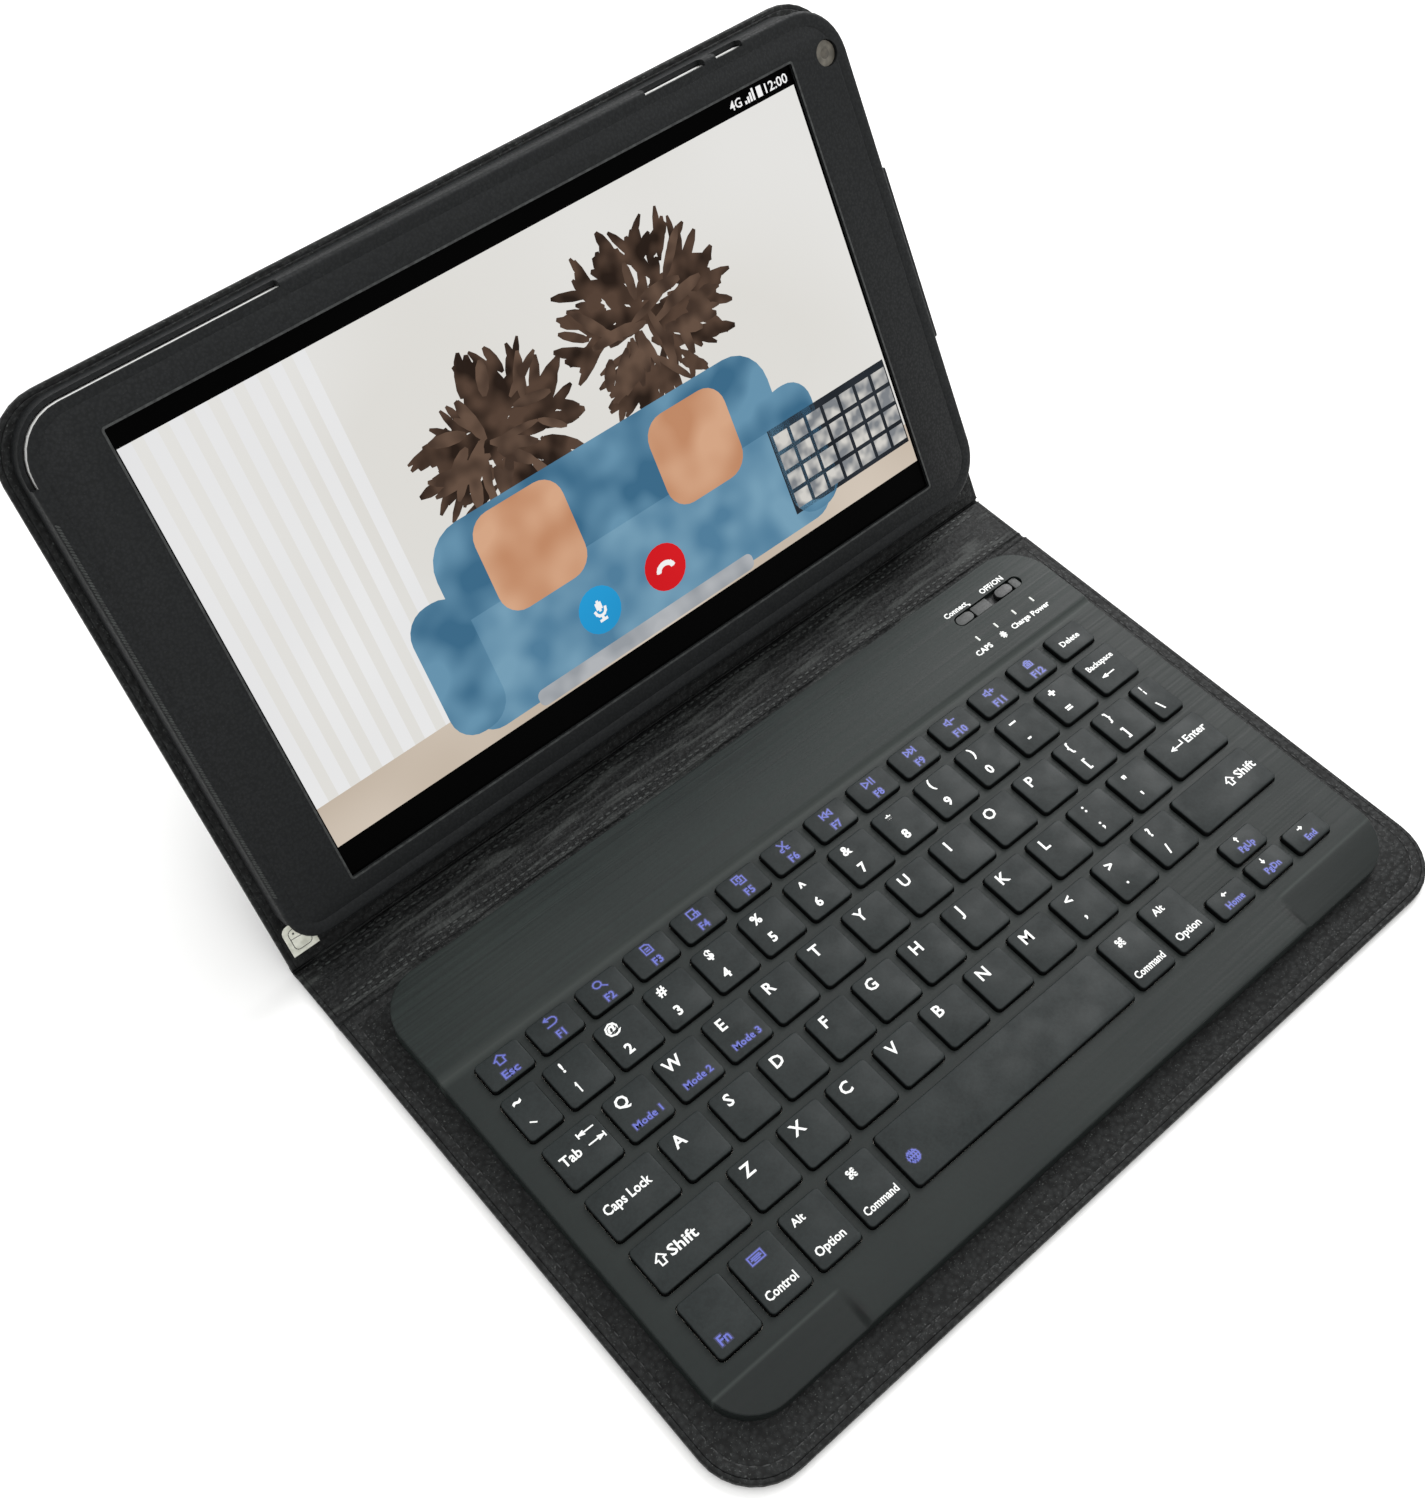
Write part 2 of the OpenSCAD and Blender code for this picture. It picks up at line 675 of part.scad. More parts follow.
module case_screws() {
    color("#8d9196") for (x = screw_x, y = screw_y) translate([x, y, deck_z0]) {
        cylinder(r = screw_head_r, h = screw_head_t);
        cylinder(r = screw_r, h = screw_head_t + screw_l);
    }
}

// ---------------------------------------------------------------- keys

module escape_key() { caps(escape_caps); }
module function_keys() { caps(function_caps); }
module delete_key() { caps(delete_caps); }
module number_keys() { caps(number_caps); }
module backspace_key() { caps(backspace_caps); }
module tab_key() { caps(tab_caps); }
module top_letter_keys() { caps(top_caps); }
module caps_lock_key() { caps(caps_lock_caps); }
module home_letter_keys() { caps(home_caps); }
module enter_key() { caps(enter_caps); }
module left_shift_key() { caps(left_shift_caps); }
module lower_letter_keys() { caps(lower_caps); }
module right_shift_key() { caps(right_shift_caps); }
module left_modifier_keys() { caps(left_modifier_caps); }
module space_bar() { caps(space_caps); }
module right_modifier_keys() { caps(right_modifier_caps); }
module arrow_keys() { caps(arrow_caps); }

// ---------------------------------------------------------------- spine

module spine_skin() {
    color("#202224") translate([-cover_w / 2, spine_y0, 0]) cube([cover_w, spine_d, skin_t]);
}

module spine_board() {
    color("#b9a98c")
        translate([-cover_w / 2 + skin_rim, spine_y0 + spine_board_inset, skin_t])
            cube([cover_w - 2 * skin_rim, spine_d - 2 * spine_board_inset, spine_board_t]);
}

module spine_lining() {
    color("#242628") translate([-cover_w / 2, spine_y0, skin_t + spine_board_t])
        cube([cover_w, spine_d, lining_t]);
}

// Bare skin bent round the rear crease
module rear_crease_strip() {
    color("#202224") translate([-cover_w / 2, rear_crease_y, crease_z])
        rotate([90, 0, 90]) linear_extrude(cover_w) {
            translate([-crease_gap, -skin_t]) square([crease_gap, skin_t]);
            rotate(lid_tilt) translate([0, -skin_t]) square([crease_gap, skin_t]);
            circle(skin_t);
        }
}

// ---------------------------------------------------------------- lid

module lid_skin() {
    color("#26282a") lid_up() difference() {
        at_lid_panel() skin_tray(cover_w, lid_d - crease_gap, cover_r);
        slab(-1, panel_t) leg_2d(leg_clearance);
    }
}

module lid_board() {
    color("#b9a98c") lid_up() difference() {
        at_lid_panel() slab(skin_t, skin_t + board_t)
            panel_inset_2d(cover_w, lid_d - crease_gap, cover_r, skin_rim + 0.1);
        slab(-1, panel_t) leg_2d(leg_clearance);
    }
}

module lid_lining() {
    color("#2b2d2f") lid_up() at_lid_panel() slab(skin_t + board_t, panel_t)
        panel_2d(cover_w, lid_d - crease_gap, cover_r);
}

module holder_frame() {
    color("#2a2c2e") lid_up() difference() {
        slab(face_z0, lid_t) holder_2d(0);
        translate([window_x, window_cy, face_z0 - 1]) linear_extrude(holder_face_t + 2)
            square([window_w, window_h], center = true);
        translate([camera_x, camera_y, face_z0 - 1])
            cylinder(r = camera_hole_r, h = holder_face_t + 2);
        difference() {
            union() {
                wall_slot(-holder_w / 2 - 1, -holder_w / 2 + corner_slot_l,
                    holder_y1 - holder_r - corner_slot_drop);
                wall_slot(volume_slot[0], volume_slot[1], holder_cy);
                wall_slot(power_slot[0], power_slot[1], holder_cy);
            }
            slab(0, lid_t + 2) tablet_2d(-slot_margin);
        }
    }
}

// Wall that follows the holder's outline, cut to the band of x between x0 and x1
module holder_wall_piece(x0, x1, y0, y1) {
    intersection() {
        slab(panel_t, face_z0) difference() {
            holder_2d(0);
            holder_2d(holder_wall);
        }
        translate([x0, y0, 0]) cube([x1 - x0, y1 - y0, lid_t]);
    }
}

module holder_top_wall() {
    color("#2a2c2e") lid_up() difference() {
        holder_wall_piece(-holder_straight_x, holder_straight_x, holder_cy, holder_y1 + 1);
        wall_slot(-holder_straight_x - 1, -holder_w / 2 + corner_slot_l, holder_cy);
        wall_slot(volume_slot[0], volume_slot[1], holder_cy);
        wall_slot(power_slot[0], power_slot[1], holder_cy);
    }
}

module holder_left_wall() {
    color("#2a2c2e") lid_up() difference() {
        holder_wall_piece(-holder_w / 2 - 1, -holder_straight_x, holder_y0 - 1,
            holder_y1 + 1);
        wall_slot(-holder_w / 2 - 1, -holder_straight_x + 1,
            holder_y1 - holder_r - corner_slot_drop);
    }
}

module holder_bottom_wall() {
    color("#2a2c2e") lid_up()
        holder_wall_piece(-holder_straight_x, holder_straight_x, holder_y0 - 1, holder_cy);
}

module retaining_flap() {
    color("#2a2c2e") lid_up() translate([holder_w / 2 - flap_lap, flap_y0, panel_t])
        cube([flap_t, flap_l, face_z0 - panel_t - 1]);
}

// ---------------------------------------------------------------- stand leg

module stand_skin() {
    color("#26282a") leg_out() slab(0, leg_skin_t) leg_2d(0);
}

module stand_board() {
    color("#b9a98c") leg_out() slab(leg_skin_t, leg_t - leg_lining_t) leg_2d(0);
}

module stand_lining() {
    color("#2b2d2f") leg_out() slab(leg_t - leg_lining_t, leg_t) leg_2d(0);
}

// ---------------------------------------------------------------- tablet

module tablet_shell() {
    color("#f2f2f0") lid_up() difference() {
        slab(tablet_z0, tablet_front_z) tablet_2d(0);
        slab(tablet_z0 + shell_t, tablet_z1) tablet_2d(shell_t);
        for (span = [volume_slot, power_slot]) side_key(span, 0.15);
    }
}

module tablet_glass() {
    color("#101113") lid_up() slab(tablet_front_z, tablet_z1) tablet_2d(0);
}

module tablet_display() {
    color("#dfe3e8") lid_up() translate([window_x, window_cy, tablet_front_z - display_t / 2])
        cube([window_w + 2 * display_margin, window_h + 2 * display_margin, display_t],
            center = true);
}

module tablet_battery() {
    w = tablet_w - tablet_battery_side - tablet_battery_gap - tablet_board_w
        - tablet_board_side;
    color("#b7bcc2") lid_up()
        translate([-tablet_w / 2 + tablet_battery_side, tablet_y0 + tablet_inside_bottom,
            tablet_z0 + shell_t])
            cube([w, tablet_h - tablet_inside_bottom - tablet_inside_top, tablet_battery_t]);
}

module tablet_board() {
    color("#1f5a3a") lid_up()
        translate([tablet_w / 2 - tablet_board_side - tablet_board_w,
            tablet_y0 + tablet_inside_bottom, tablet_z0 + shell_t])
            cube([tablet_board_w, tablet_board_h, tablet_board_t]);
}

module tablet_camera() {
    color("#6d675f") lid_up() translate([camera_x, camera_y, tablet_front_z - camera_t])
        cylinder(r = camera_r, h = camera_t);
}

module tablet_volume_key() {
    color("#e4e4e2") lid_up() side_key(volume_slot, 0);
}

module tablet_power_key() {
    color("#e4e4e2") lid_up() side_key(power_slot, 0);
}

// ---------------------------------------------------------------- nodes

lower_skin();
lower_board();
lower_lining();
front_crease_strip();
adhesive_pads();
keyboard_bottom_case();
keyboard_top_case();
key_backplate();
key_membrane();
key_dome_sheet();
key_scissor_links();
circuit_board();
battery();
charge_socket();
switch_carrier();
power_switch_knob();
connect_button();
indicator_lenses();
case_screws();
escape_key();
function_keys();
delete_key();
number_keys();
backspace_key();
tab_key();
top_letter_keys();
caps_lock_key();
home_letter_keys();
enter_key();
left_shift_key();
lower_letter_keys();
right_shift_key();
left_modifier_keys();
space_bar();
right_modifier_keys();
arrow_keys();
spine_skin();
spine_board();
spine_lining();
rear_crease_strip();
lid_skin();
lid_board();
lid_lining();
holder_frame();
holder_top_wall();
holder_left_wall();
holder_bottom_wall();
retaining_flap();
stand_skin();
stand_board();
stand_lining();
tablet_shell();
tablet_glass();
tablet_display();
tablet_battery();
tablet_board();
tablet_camera();
tablet_volume_key();
tablet_power_key();
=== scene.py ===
"""Looks of a folio keyboard case with a tablet in its holder.

Metres. What belongs to the lid is drawn lying flat behind the spine, with z as the height above
the lid's outer face, and LID turns it up to the angle of use. The stand leg is drawn folded
flush into the lid, and LEG swings it out. What lies on the table is drawn in place.
"""

import json
import math
import random
from collections import defaultdict

import bmesh
import bpy
from mathutils import Matrix, Vector


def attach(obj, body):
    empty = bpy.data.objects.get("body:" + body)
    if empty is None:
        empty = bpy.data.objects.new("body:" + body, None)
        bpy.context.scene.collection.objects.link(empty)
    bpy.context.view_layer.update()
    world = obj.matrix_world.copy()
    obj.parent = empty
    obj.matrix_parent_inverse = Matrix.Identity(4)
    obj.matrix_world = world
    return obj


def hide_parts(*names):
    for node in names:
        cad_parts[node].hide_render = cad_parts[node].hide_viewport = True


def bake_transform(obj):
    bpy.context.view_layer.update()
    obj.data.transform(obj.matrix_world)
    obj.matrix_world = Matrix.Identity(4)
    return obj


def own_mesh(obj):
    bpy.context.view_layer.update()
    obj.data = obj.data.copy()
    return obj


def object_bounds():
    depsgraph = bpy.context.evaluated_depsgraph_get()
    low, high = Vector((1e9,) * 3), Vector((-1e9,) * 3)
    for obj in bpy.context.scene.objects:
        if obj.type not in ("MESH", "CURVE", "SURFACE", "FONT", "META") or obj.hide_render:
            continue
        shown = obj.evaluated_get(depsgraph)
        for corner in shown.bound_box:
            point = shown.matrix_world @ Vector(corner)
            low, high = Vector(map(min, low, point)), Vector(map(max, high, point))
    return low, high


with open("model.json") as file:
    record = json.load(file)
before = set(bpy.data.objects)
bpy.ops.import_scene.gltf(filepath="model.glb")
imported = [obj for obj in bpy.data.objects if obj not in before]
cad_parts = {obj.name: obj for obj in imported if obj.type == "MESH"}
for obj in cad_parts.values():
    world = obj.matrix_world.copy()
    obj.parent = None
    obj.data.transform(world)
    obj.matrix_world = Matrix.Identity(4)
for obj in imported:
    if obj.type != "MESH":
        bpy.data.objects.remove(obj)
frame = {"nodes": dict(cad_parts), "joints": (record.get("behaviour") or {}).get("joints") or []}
cad_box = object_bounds()

MM = 0.001
IN_PLACE = Matrix()
WAVER = 0.0009  # share by which the pebbles of the leatherette stray from even cells


# ---------------------------------------------------------------- places from the frame

def turned_up(point, degrees):
    """Turn about the line along X through a point."""
    turn = Matrix.Rotation(math.radians(degrees), 4, "X")
    return Matrix.Translation(point) @ turn @ Matrix.Translation(-point)


def span(node, turn=IN_PLACE):
    """Lowest and highest corner of one hard part as it lies before the turn."""
    back = turn.inverted()
    points = [back @ vertex.co for vertex in frame["nodes"][node].data.vertices]
    return Vector(map(min, *points)), Vector(map(max, *points))


def solids(node):
    """Box of each separate solid in a hard part, sorted from left to right."""
    bm = bmesh.new()
    bm.from_mesh(frame["nodes"][node].data)
    bmesh.ops.remove_doubles(bm, verts=bm.verts, dist=0.01 * MM)
    boxes = []
    left = set(bm.verts)
    while left:
        front = [left.pop()]
        points = []
        while front:
            vertex = front.pop()
            points.append(vertex.co.copy())
            near = {edge.other_vert(vertex) for edge in vertex.link_edges} & left
            left -= near
            front.extend(near)
        boxes.append((Vector(map(min, *points)), Vector(map(max, *points))))
    bm.free()
    return sorted(boxes, key=lambda box: (round(box[0].x, 4), box[0].y))


def grown(box, by, up=None):
    """A box grown all round by one amount, and upwards by another."""
    low, high = box
    return low - Vector((by, by, by)), high + Vector((by, by, by if up is None else up))


JOINTS = {joint["name"]: joint for joint in frame["joints"]}
REAR_CREASE = Vector(JOINTS["lid_fold"]["pos_m"])
LID = turned_up(REAR_CREASE, -JOINTS["lid_fold"]["range_deg"][0])
LEG_PIVOT = LID.inverted() @ Vector(JOINTS["stand_fold"]["pos_m"])
LEG = LID @ turned_up(LEG_PIVOT, -JOINTS["stand_fold"]["range_deg"][0])


# ---------------------------------------------------------------- materials

def linear(colour):
    """Linear colour, with alpha, of an sRGB hex value."""
    parts = [int(colour[i:i + 2], 16) / 255 for i in (1, 3, 5)]
    return [c / 12.92 if c <= 0.04045 else ((c + 0.055) / 1.055) ** 2.4 for c in parts] + [1]


def material(name):
    """A new material, its node tree and its shader."""
    made = bpy.data.materials.new(name)
    made.use_nodes = True
    return made, made.node_tree, made.node_tree.nodes["Principled BSDF"]


def add(tree, kind, inputs=(), out=None, **settings):
    """Adds a node with its settings and links, and gives its first output or the one named.

    Inputs have names, or come in the order of the sockets in use. Each is a number, a hex
    colour or the socket that feeds it."""
    node = tree.nodes.new("ShaderNode" + kind)
    for name, value in settings.items():
        setattr(node, name, value)
    if not isinstance(inputs, dict):
        inputs = dict(enumerate(inputs))
    live = [socket for socket in node.inputs if socket.enabled]
    for name, value in inputs.items():
        socket = node.inputs[name] if isinstance(name, str) else live[name]
        if isinstance(value, bpy.types.NodeSocket):
            tree.links.new(value, socket)
        else:
            socket.default_value = linear(value) if isinstance(value, str) else value
    return node.outputs[out] if out else next(end for end in node.outputs if end.enabled)


def per(size_mm):
    """Pattern scale at which one cell is this many millimetres across."""
    return 1 / (size_mm * MM)


def on_surface(tree, stretch=(1, 1, 1)):
    """Object coordinates in metres, with an optional stretch along the axes."""
    place = add(tree, "TexCoord", out="Object")
    return add(tree, "Mapping", {"Vector": place, "Scale": stretch})


def feed(tree, shader, colour=None, roughness=None, height=None, depth_mm=0.0):
    """Links colour, roughness and a bump of a given depth to a shader."""
    if colour:
        tree.links.new(colour, shader.inputs["Base Color"])
    if roughness:
        tree.links.new(roughness, shader.inputs["Roughness"])
    if height:
        bump = add(tree, "Bump", {"Height": height, "Distance": depth_mm * MM})
        tree.links.new(bump, shader.inputs["Normal"])


def plain_finish(name, dark, light, roughness, patch=6.0, grain=0.5, depth=0.02, metallic=0.0):
    """Moulded, stamped or rolled surface: two tints in soft patches under a fine even grain.

    The grain of such surfaces is about 0.1 mm. It is drawn coarser, so that it shows."""
    made, tree, shader = material(name)
    shader.inputs["Metallic"].default_value = metallic
    where = on_surface(tree)
    patches = add(tree, "TexNoise", {"Vector": where, "Scale": per(patch), "Detail": 3})
    fine = add(tree, "TexNoise", {"Vector": where, "Scale": per(grain), "Detail": 2})
    share = add(tree, "MapRange", (patches, 0.35, 0.65))
    colour = add(tree, "Mix", (share, dark, light), data_type="RGBA")
    rough = add(tree, "MapRange", (fine, 0.3, 0.7, roughness - 0.06, roughness + 0.06))
    feed(tree, shader, colour, rough, fine, depth)
    return made


def leatherette(name, valley, crest, speck, pebble, depth, specks=0.12, wrinkles=0.0):
    """Polyurethane leatherette: embossed pebbles with painted shade in their valleys, shiny crests
    with a painted highlight, and pale specks that are painted glints.

    Wrinkles, from 0 to 1, run along the fold as they do where the cover bends, with a painted
    highlight on their ridges."""
    made, tree, shader = material(name)
    shader.inputs["Specular IOR Level"].default_value = 0.22
    where = on_surface(tree)
    bend = add(tree, "TexNoise", {"Vector": where, "Scale": per(2.5 * pebble), "Detail": 2},
               out="Color")
    wavy = add(tree, "Mix", (WAVER, where, bend), data_type="VECTOR")
    cells = add(tree, "TexVoronoi", {"Vector": wavy, "Scale": per(pebble), "Smoothness": 0.5},
                feature="SMOOTH_F1")
    fine = add(tree, "TexNoise", {"Vector": where, "Scale": per(0.35 * pebble), "Detail": 3})
    broad = add(tree, "TexNoise", {"Vector": where, "Scale": per(28), "Detail": 3})
    domes = add(tree, "MapRange", (cells, 0.1, 0.7, 1, 0))
    # Painted shade in the pebbles' valleys and a painted highlight on their crests.
    body = add(tree, "Mix", (domes, valley, crest), data_type="RGBA")
    # Pale specks: painted glints scattered over the grain.
    paler_share = add(tree, "MapRange", (fine, 0.66 - specks / 4, 0.72, 0, 0.85))
    body = add(tree, "Mix", (paler_share, body, speck), data_type="RGBA")
    cloudy = add(tree, "MapRange", (broad, 0.35, 0.65, 0, 0.35))
    shade = add(tree, "Mix", (cloudy, body, valley), data_type="RGBA")
    rough = add(tree, "MapRange", (domes, 0, 1, 0.66, 0.48))
    height = add(tree, "Math", (domes, fine), operation="MULTIPLY")
    if wrinkles:
        along = on_surface(tree, (0.11, 1, 1))
        folds = add(tree, "TexNoise", {"Vector": along, "Scale": per(2.2), "Detail": 3})
        ridges = add(tree, "MapRange", (folds, 0.35, 0.65))
        # Painted highlight along the ridges of the wrinkles.
        pale = add(tree, "MapRange", (ridges, 0.55, 0.9, 0, wrinkles))
        shade = add(tree, "Mix", (pale, shade, speck), data_type="RGBA")
        height = add(tree, "Math", (ridges, 2.5 * wrinkles, height), operation="MULTIPLY_ADD")
    feed(tree, shader, shade, rough, height, depth)
    return made


def near(tree, socket, value, reach):
    """Share that is 1 where a coordinate has a value and falls to 0 within a reach."""
    away = add(tree, "Math", (socket, value), operation="SUBTRACT")
    away = add(tree, "Math", (away,), operation="ABSOLUTE")
    return add(tree, "MapRange", (away, 0, reach, 1, 0))


def painted_deck_light(tree, colour, x, y, ramp_y):
    """Deck colour with painted light: a painted highlight along the ramp, painted shade on the
    sloping front corners, a painted highlight along the upper edge of each slope and the painted
    shade of two dents at the start of the slopes.
    """
    low, high = span("keyboard_top_case")
    aside = add(tree, "Math", (x,), operation="ABSOLUTE")
    ramp = near(tree, y, ramp_y + 0.6 * MM, 2.2 * MM)
    slope = add(tree, "MapRange", (y, low.y + 11.4 * MM, low.y + 10.6 * MM))
    outer = add(tree, "MapRange", (aside, high.x - 41 * MM, high.x - 39 * MM))
    corner = add(tree, "Math", (slope, outer), operation="MULTIPLY")
    edge = near(tree, y, low.y + 11.2 * MM, 0.7 * MM)
    slope_edge_highlight = add(tree, "Math", (edge, outer), operation="MULTIPLY")
    dent_x = near(tree, aside, high.x - 41.2 * MM, 2.4 * MM)
    dent_y = near(tree, y, low.y + 4.5 * MM, 7 * MM)
    dent = add(tree, "Math", (dent_x, dent_y), operation="MULTIPLY")
    # Painted light: a highlight on the ramp, shade on the corner slopes, a highlight on the slopes'
    # upper edge and shade at the dents.
    for place, strength, shade in ((ramp, 0.3, "#4b504d"), (corner, 0.35, "#161818"),
                                   (slope_edge_highlight, 0.3, "#4c524f"), (dent, 0.85, "#0b0c0c")):
        share = add(tree, "Math", (place, strength), operation="MULTIPLY")
        colour = add(tree, "Mix", (share, colour, shade), data_type="RGBA")
    return colour


def brushed_deck():
    """ABS housing, moulded with a fine texture and a brushed grain that runs along the rows."""
    made, tree, shader = material("textured_abs_deck")
    shader.inputs["Specular IOR Level"].default_value = 0.2
    where = on_surface(tree)
    along = on_surface(tree, (0.012, 1, 1))
    streaks = add(tree, "TexNoise", {"Vector": along, "Scale": per(0.7), "Detail": 4})
    mottle = add(tree, "TexNoise", {"Vector": where, "Scale": per(1.3), "Detail": 3})
    clouds = add(tree, "TexNoise", {"Vector": where, "Scale": per(35), "Detail": 2})
    x, y = (add(tree, "SeparateXYZ", (where,), out=axis) for axis in "XY")
    ramp_y = span("keyboard_top_case")[1].y - BAND_DEPTH
    band = add(tree, "MapRange", (y, ramp_y - 2 * MM, ramp_y + 4 * MM, 0.3, 1))
    lines = add(tree, "MapRange", (streaks, 0.32, 0.68))
    strength = add(tree, "Math", (lines, band), operation="MULTIPLY")
    colour = add(tree, "Mix", (strength, "#141a19", "#1f2725"), data_type="RGBA")
    for pattern, most, shade in ((mottle, 0.3, "#111313"), (clouds, 0.2, "#2b302d")):
        share = add(tree, "MapRange", (pattern, 0.3, 0.7, 0, most))
        colour = add(tree, "Mix", (share, colour, shade), data_type="RGBA")
    # Painted highlights and painted shade on the ramp and the front corners.
    colour = painted_deck_light(tree, colour, x, y, ramp_y)
    rough = add(tree, "MapRange", (lines, 0, 1, 0.42, 0.55))
    height = add(tree, "Math", (strength, mottle), operation="ADD")
    feed(tree, shader, colour, rough, height, 0.03)
    return made


def key_plastic():
    """ABS key caps: matt tops rubbed by fingers, and sides painted dark as the shade of their wells.
    """
    made, tree, shader = material("matt_abs_key")
    shader.inputs["Specular IOR Level"].default_value = 0.2
    where = on_surface(tree)
    mottle = add(tree, "TexNoise", {"Vector": where, "Scale": per(0.9), "Detail": 3})
    rubbed = add(tree, "TexNoise", {"Vector": where, "Scale": per(9), "Detail": 2})
    grain = add(tree, "MapRange", (mottle, 0.3, 0.7))
    top = add(tree, "Mix", (grain, "#131818", "#1b2121"), data_type="RGBA")
    paler_share = add(tree, "MapRange", (rubbed, 0.35, 0.65, 0, 0.3))
    top = add(tree, "Mix", (paler_share, top, "#222828"), data_type="RGBA")
    z = add(tree, "SeparateXYZ", (where,), out="Z")
    top_z = span("space_bar")[1].z
    # Painted shade: below the top edge the cap turns near black, as its sides lie in the shade of
    # its well.
    lit = add(tree, "MapRange", (z, top_z - 0.55 * MM, top_z - 0.1 * MM))
    colour = add(tree, "Mix", (lit, "#050606", top), data_type="RGBA")
    rough = add(tree, "MapRange", (rubbed, 0.3, 0.7, 0.58, 0.44))
    feed(tree, shader, colour, rough, mottle, 0.02)
    return made


def printed_ink(name, colour, thin):
    """Pad-printed ink: an even film that lets a little of the plastic's grain through."""
    made, tree, shader = material(name)
    fine = add(tree, "TexNoise", {"Vector": on_surface(tree), "Scale": per(0.3), "Detail": 2})
    share = add(tree, "MapRange", (fine, 0.35, 0.65, 0, 0.5))
    shade = add(tree, "Mix", (share, colour, thin), data_type="RGBA")
    feed(tree, shader, shade, add(tree, "MapRange", (fine, 0.3, 0.7, 0.4, 0.5)))
    return made


def tablet_glass():
    """Cover glass printed black on its back: deep, smooth, faintly greasy."""
    made, tree, shader = material("black_backed_glass")
    shader.inputs["IOR"].default_value = 1.5
    smears = add(tree, "TexNoise", {"Vector": on_surface(tree), "Scale": per(18), "Detail": 4})
    colour = add(tree, "Mix", (smears, "#020202", "#050506"), data_type="RGBA")
    feed(tree, shader, colour, add(tree, "MapRange", (smears, 0.3, 0.7, 0.1, 0.2)))
    return made


def glowing(name, colour, second, patch, strength=0.9):
    """Backlit display area of one colour, drifting softly towards a second."""
    made, tree, shader = material(name)
    shader.inputs["Roughness"].default_value = 0.25
    shader.inputs["Specular IOR Level"].default_value = 0.02
    soft = add(tree, "TexNoise", {"Vector": on_surface(tree), "Scale": per(patch), "Detail": 1})
    share = add(tree, "MapRange", (soft, 0.35, 0.65))
    light = add(tree, "Mix", (share, colour, second), data_type="RGBA")
    tree.links.new(light, shader.inputs["Emission Color"])
    shader.inputs["Emission Strength"].default_value = strength
    feed(tree, shader, add(tree, "Mix", (soft, "#000000", "#020202"), data_type="RGBA"))
    return made


def lamp_lens():
    """Milky polycarbonate light guide, unlit: pale grey with a soft inner glow of its own."""
    made, tree, shader = material("milky_lamp_lens")
    cloud = add(tree, "TexNoise", {"Vector": on_surface(tree), "Scale": per(0.8), "Detail": 2})
    feed(tree, shader, add(tree, "Mix", (cloud, "#a9aca8", "#d2d4cf"), data_type="RGBA"))
    shader.inputs["Roughness"].default_value = 0.35
    shader.inputs["Subsurface Weight"].default_value = 0.3
    shader.inputs["Subsurface Radius"].default_value = (0.4 * MM, 0.4 * MM, 0.4 * MM)
    return made


# ---------------------------------------------------------------- mesh tools

def anywhere(point):
    """Test that every point passes."""
    return True


def block(low, high):
    """Box between two corners."""
    bm = bmesh.new()
    bmesh.ops.create_cube(bm, size=1)
    bmesh.ops.scale(bm, vec=high - low, verts=bm.verts)
    bmesh.ops.translate(bm, vec=(low + high) / 2, verts=bm.verts)
    return bm


def bevel(bm, edges, size, segments):
    """Rounds edges with a circular section."""
    bmesh.ops.bevel(bm, geom=edges, offset=size, segments=segments, profile=0.5,
                    affect="EDGES", material=-1, clamp_overlap=True)


def round_corners(bm, radius, where=anywhere, segments=8):
    """Rounds the upright edges that stand where a test says."""
    upright = [edge for edge in bm.edges
               if (edge.verts[0].co - edge.verts[1].co).xy.length < 0.01 * MM
               and where(edge.verts[0].co)]
    bevel(bm, upright, radius, segments)


def roll_edges(bm, height, size, where=anywhere, segments=3):
    """Rolls the edges that lie at one height, where a test of their middle says."""
    rim = [edge for edge in bm.edges
           if all(abs(vertex.co.z - height) < 0.001 * MM for vertex in edge.verts)
           and where((edge.verts[0].co + edge.verts[1].co) / 2)]
    bevel(bm, rim, size, segments)


def slab(box, radius=0.0, top=0.0, bottom=0.0, corners=anywhere, rims=anywhere, segments=8):
    """Flat piece in a box, with round corners and rolled upper and lower edges."""
    low, high = box
    bm = block(low, high)
    if radius:
        round_corners(bm, radius, corners, segments)
    if top:
        roll_edges(bm, high.z, top, rims)
    if bottom:
        roll_edges(bm, low.z, bottom, rims)
    return bm


def rod(x, y, low_z, high_z, radius, segments=32):
    """Upright cylinder."""
    bm = bmesh.new()
    place = Matrix.Translation((x, y, (low_z + high_z) / 2))
    bmesh.ops.create_cone(bm, cap_ends=True, segments=segments, radius1=radius, radius2=radius,
                          depth=high_z - low_z, matrix=place)
    return bm


def flat_face(bm, up=1):
    """The largest face that looks straight up, or straight down."""
    bm.normal_update()
    level = [face for face in bm.faces if face.normal.z * up > 0.999]
    return max(level, key=lambda face: face.calc_area())


def groove(bm, margin, width=1.0 * MM, depth=0.22 * MM, up=1):
    """Presses a shallow groove into the upper or lower face, along its outline."""
    face = flat_face(bm, up)
    for thickness, rise in ((margin, 0), (width / 2, -depth), (width / 2, depth)):
        bmesh.ops.inset_region(bm, faces=[face], thickness=thickness, depth=rise,
                               use_even_offset=True, use_boundary=True)


def joined(parts):
    """One mesh of several, which are freed."""
    whole = bmesh.new()
    carrier = bpy.data.meshes.new("carrier")
    for part in parts:
        part.to_mesh(carrier)
        part.free()
        whole.from_mesh(carrier)
    bpy.data.meshes.remove(carrier)
    return whole


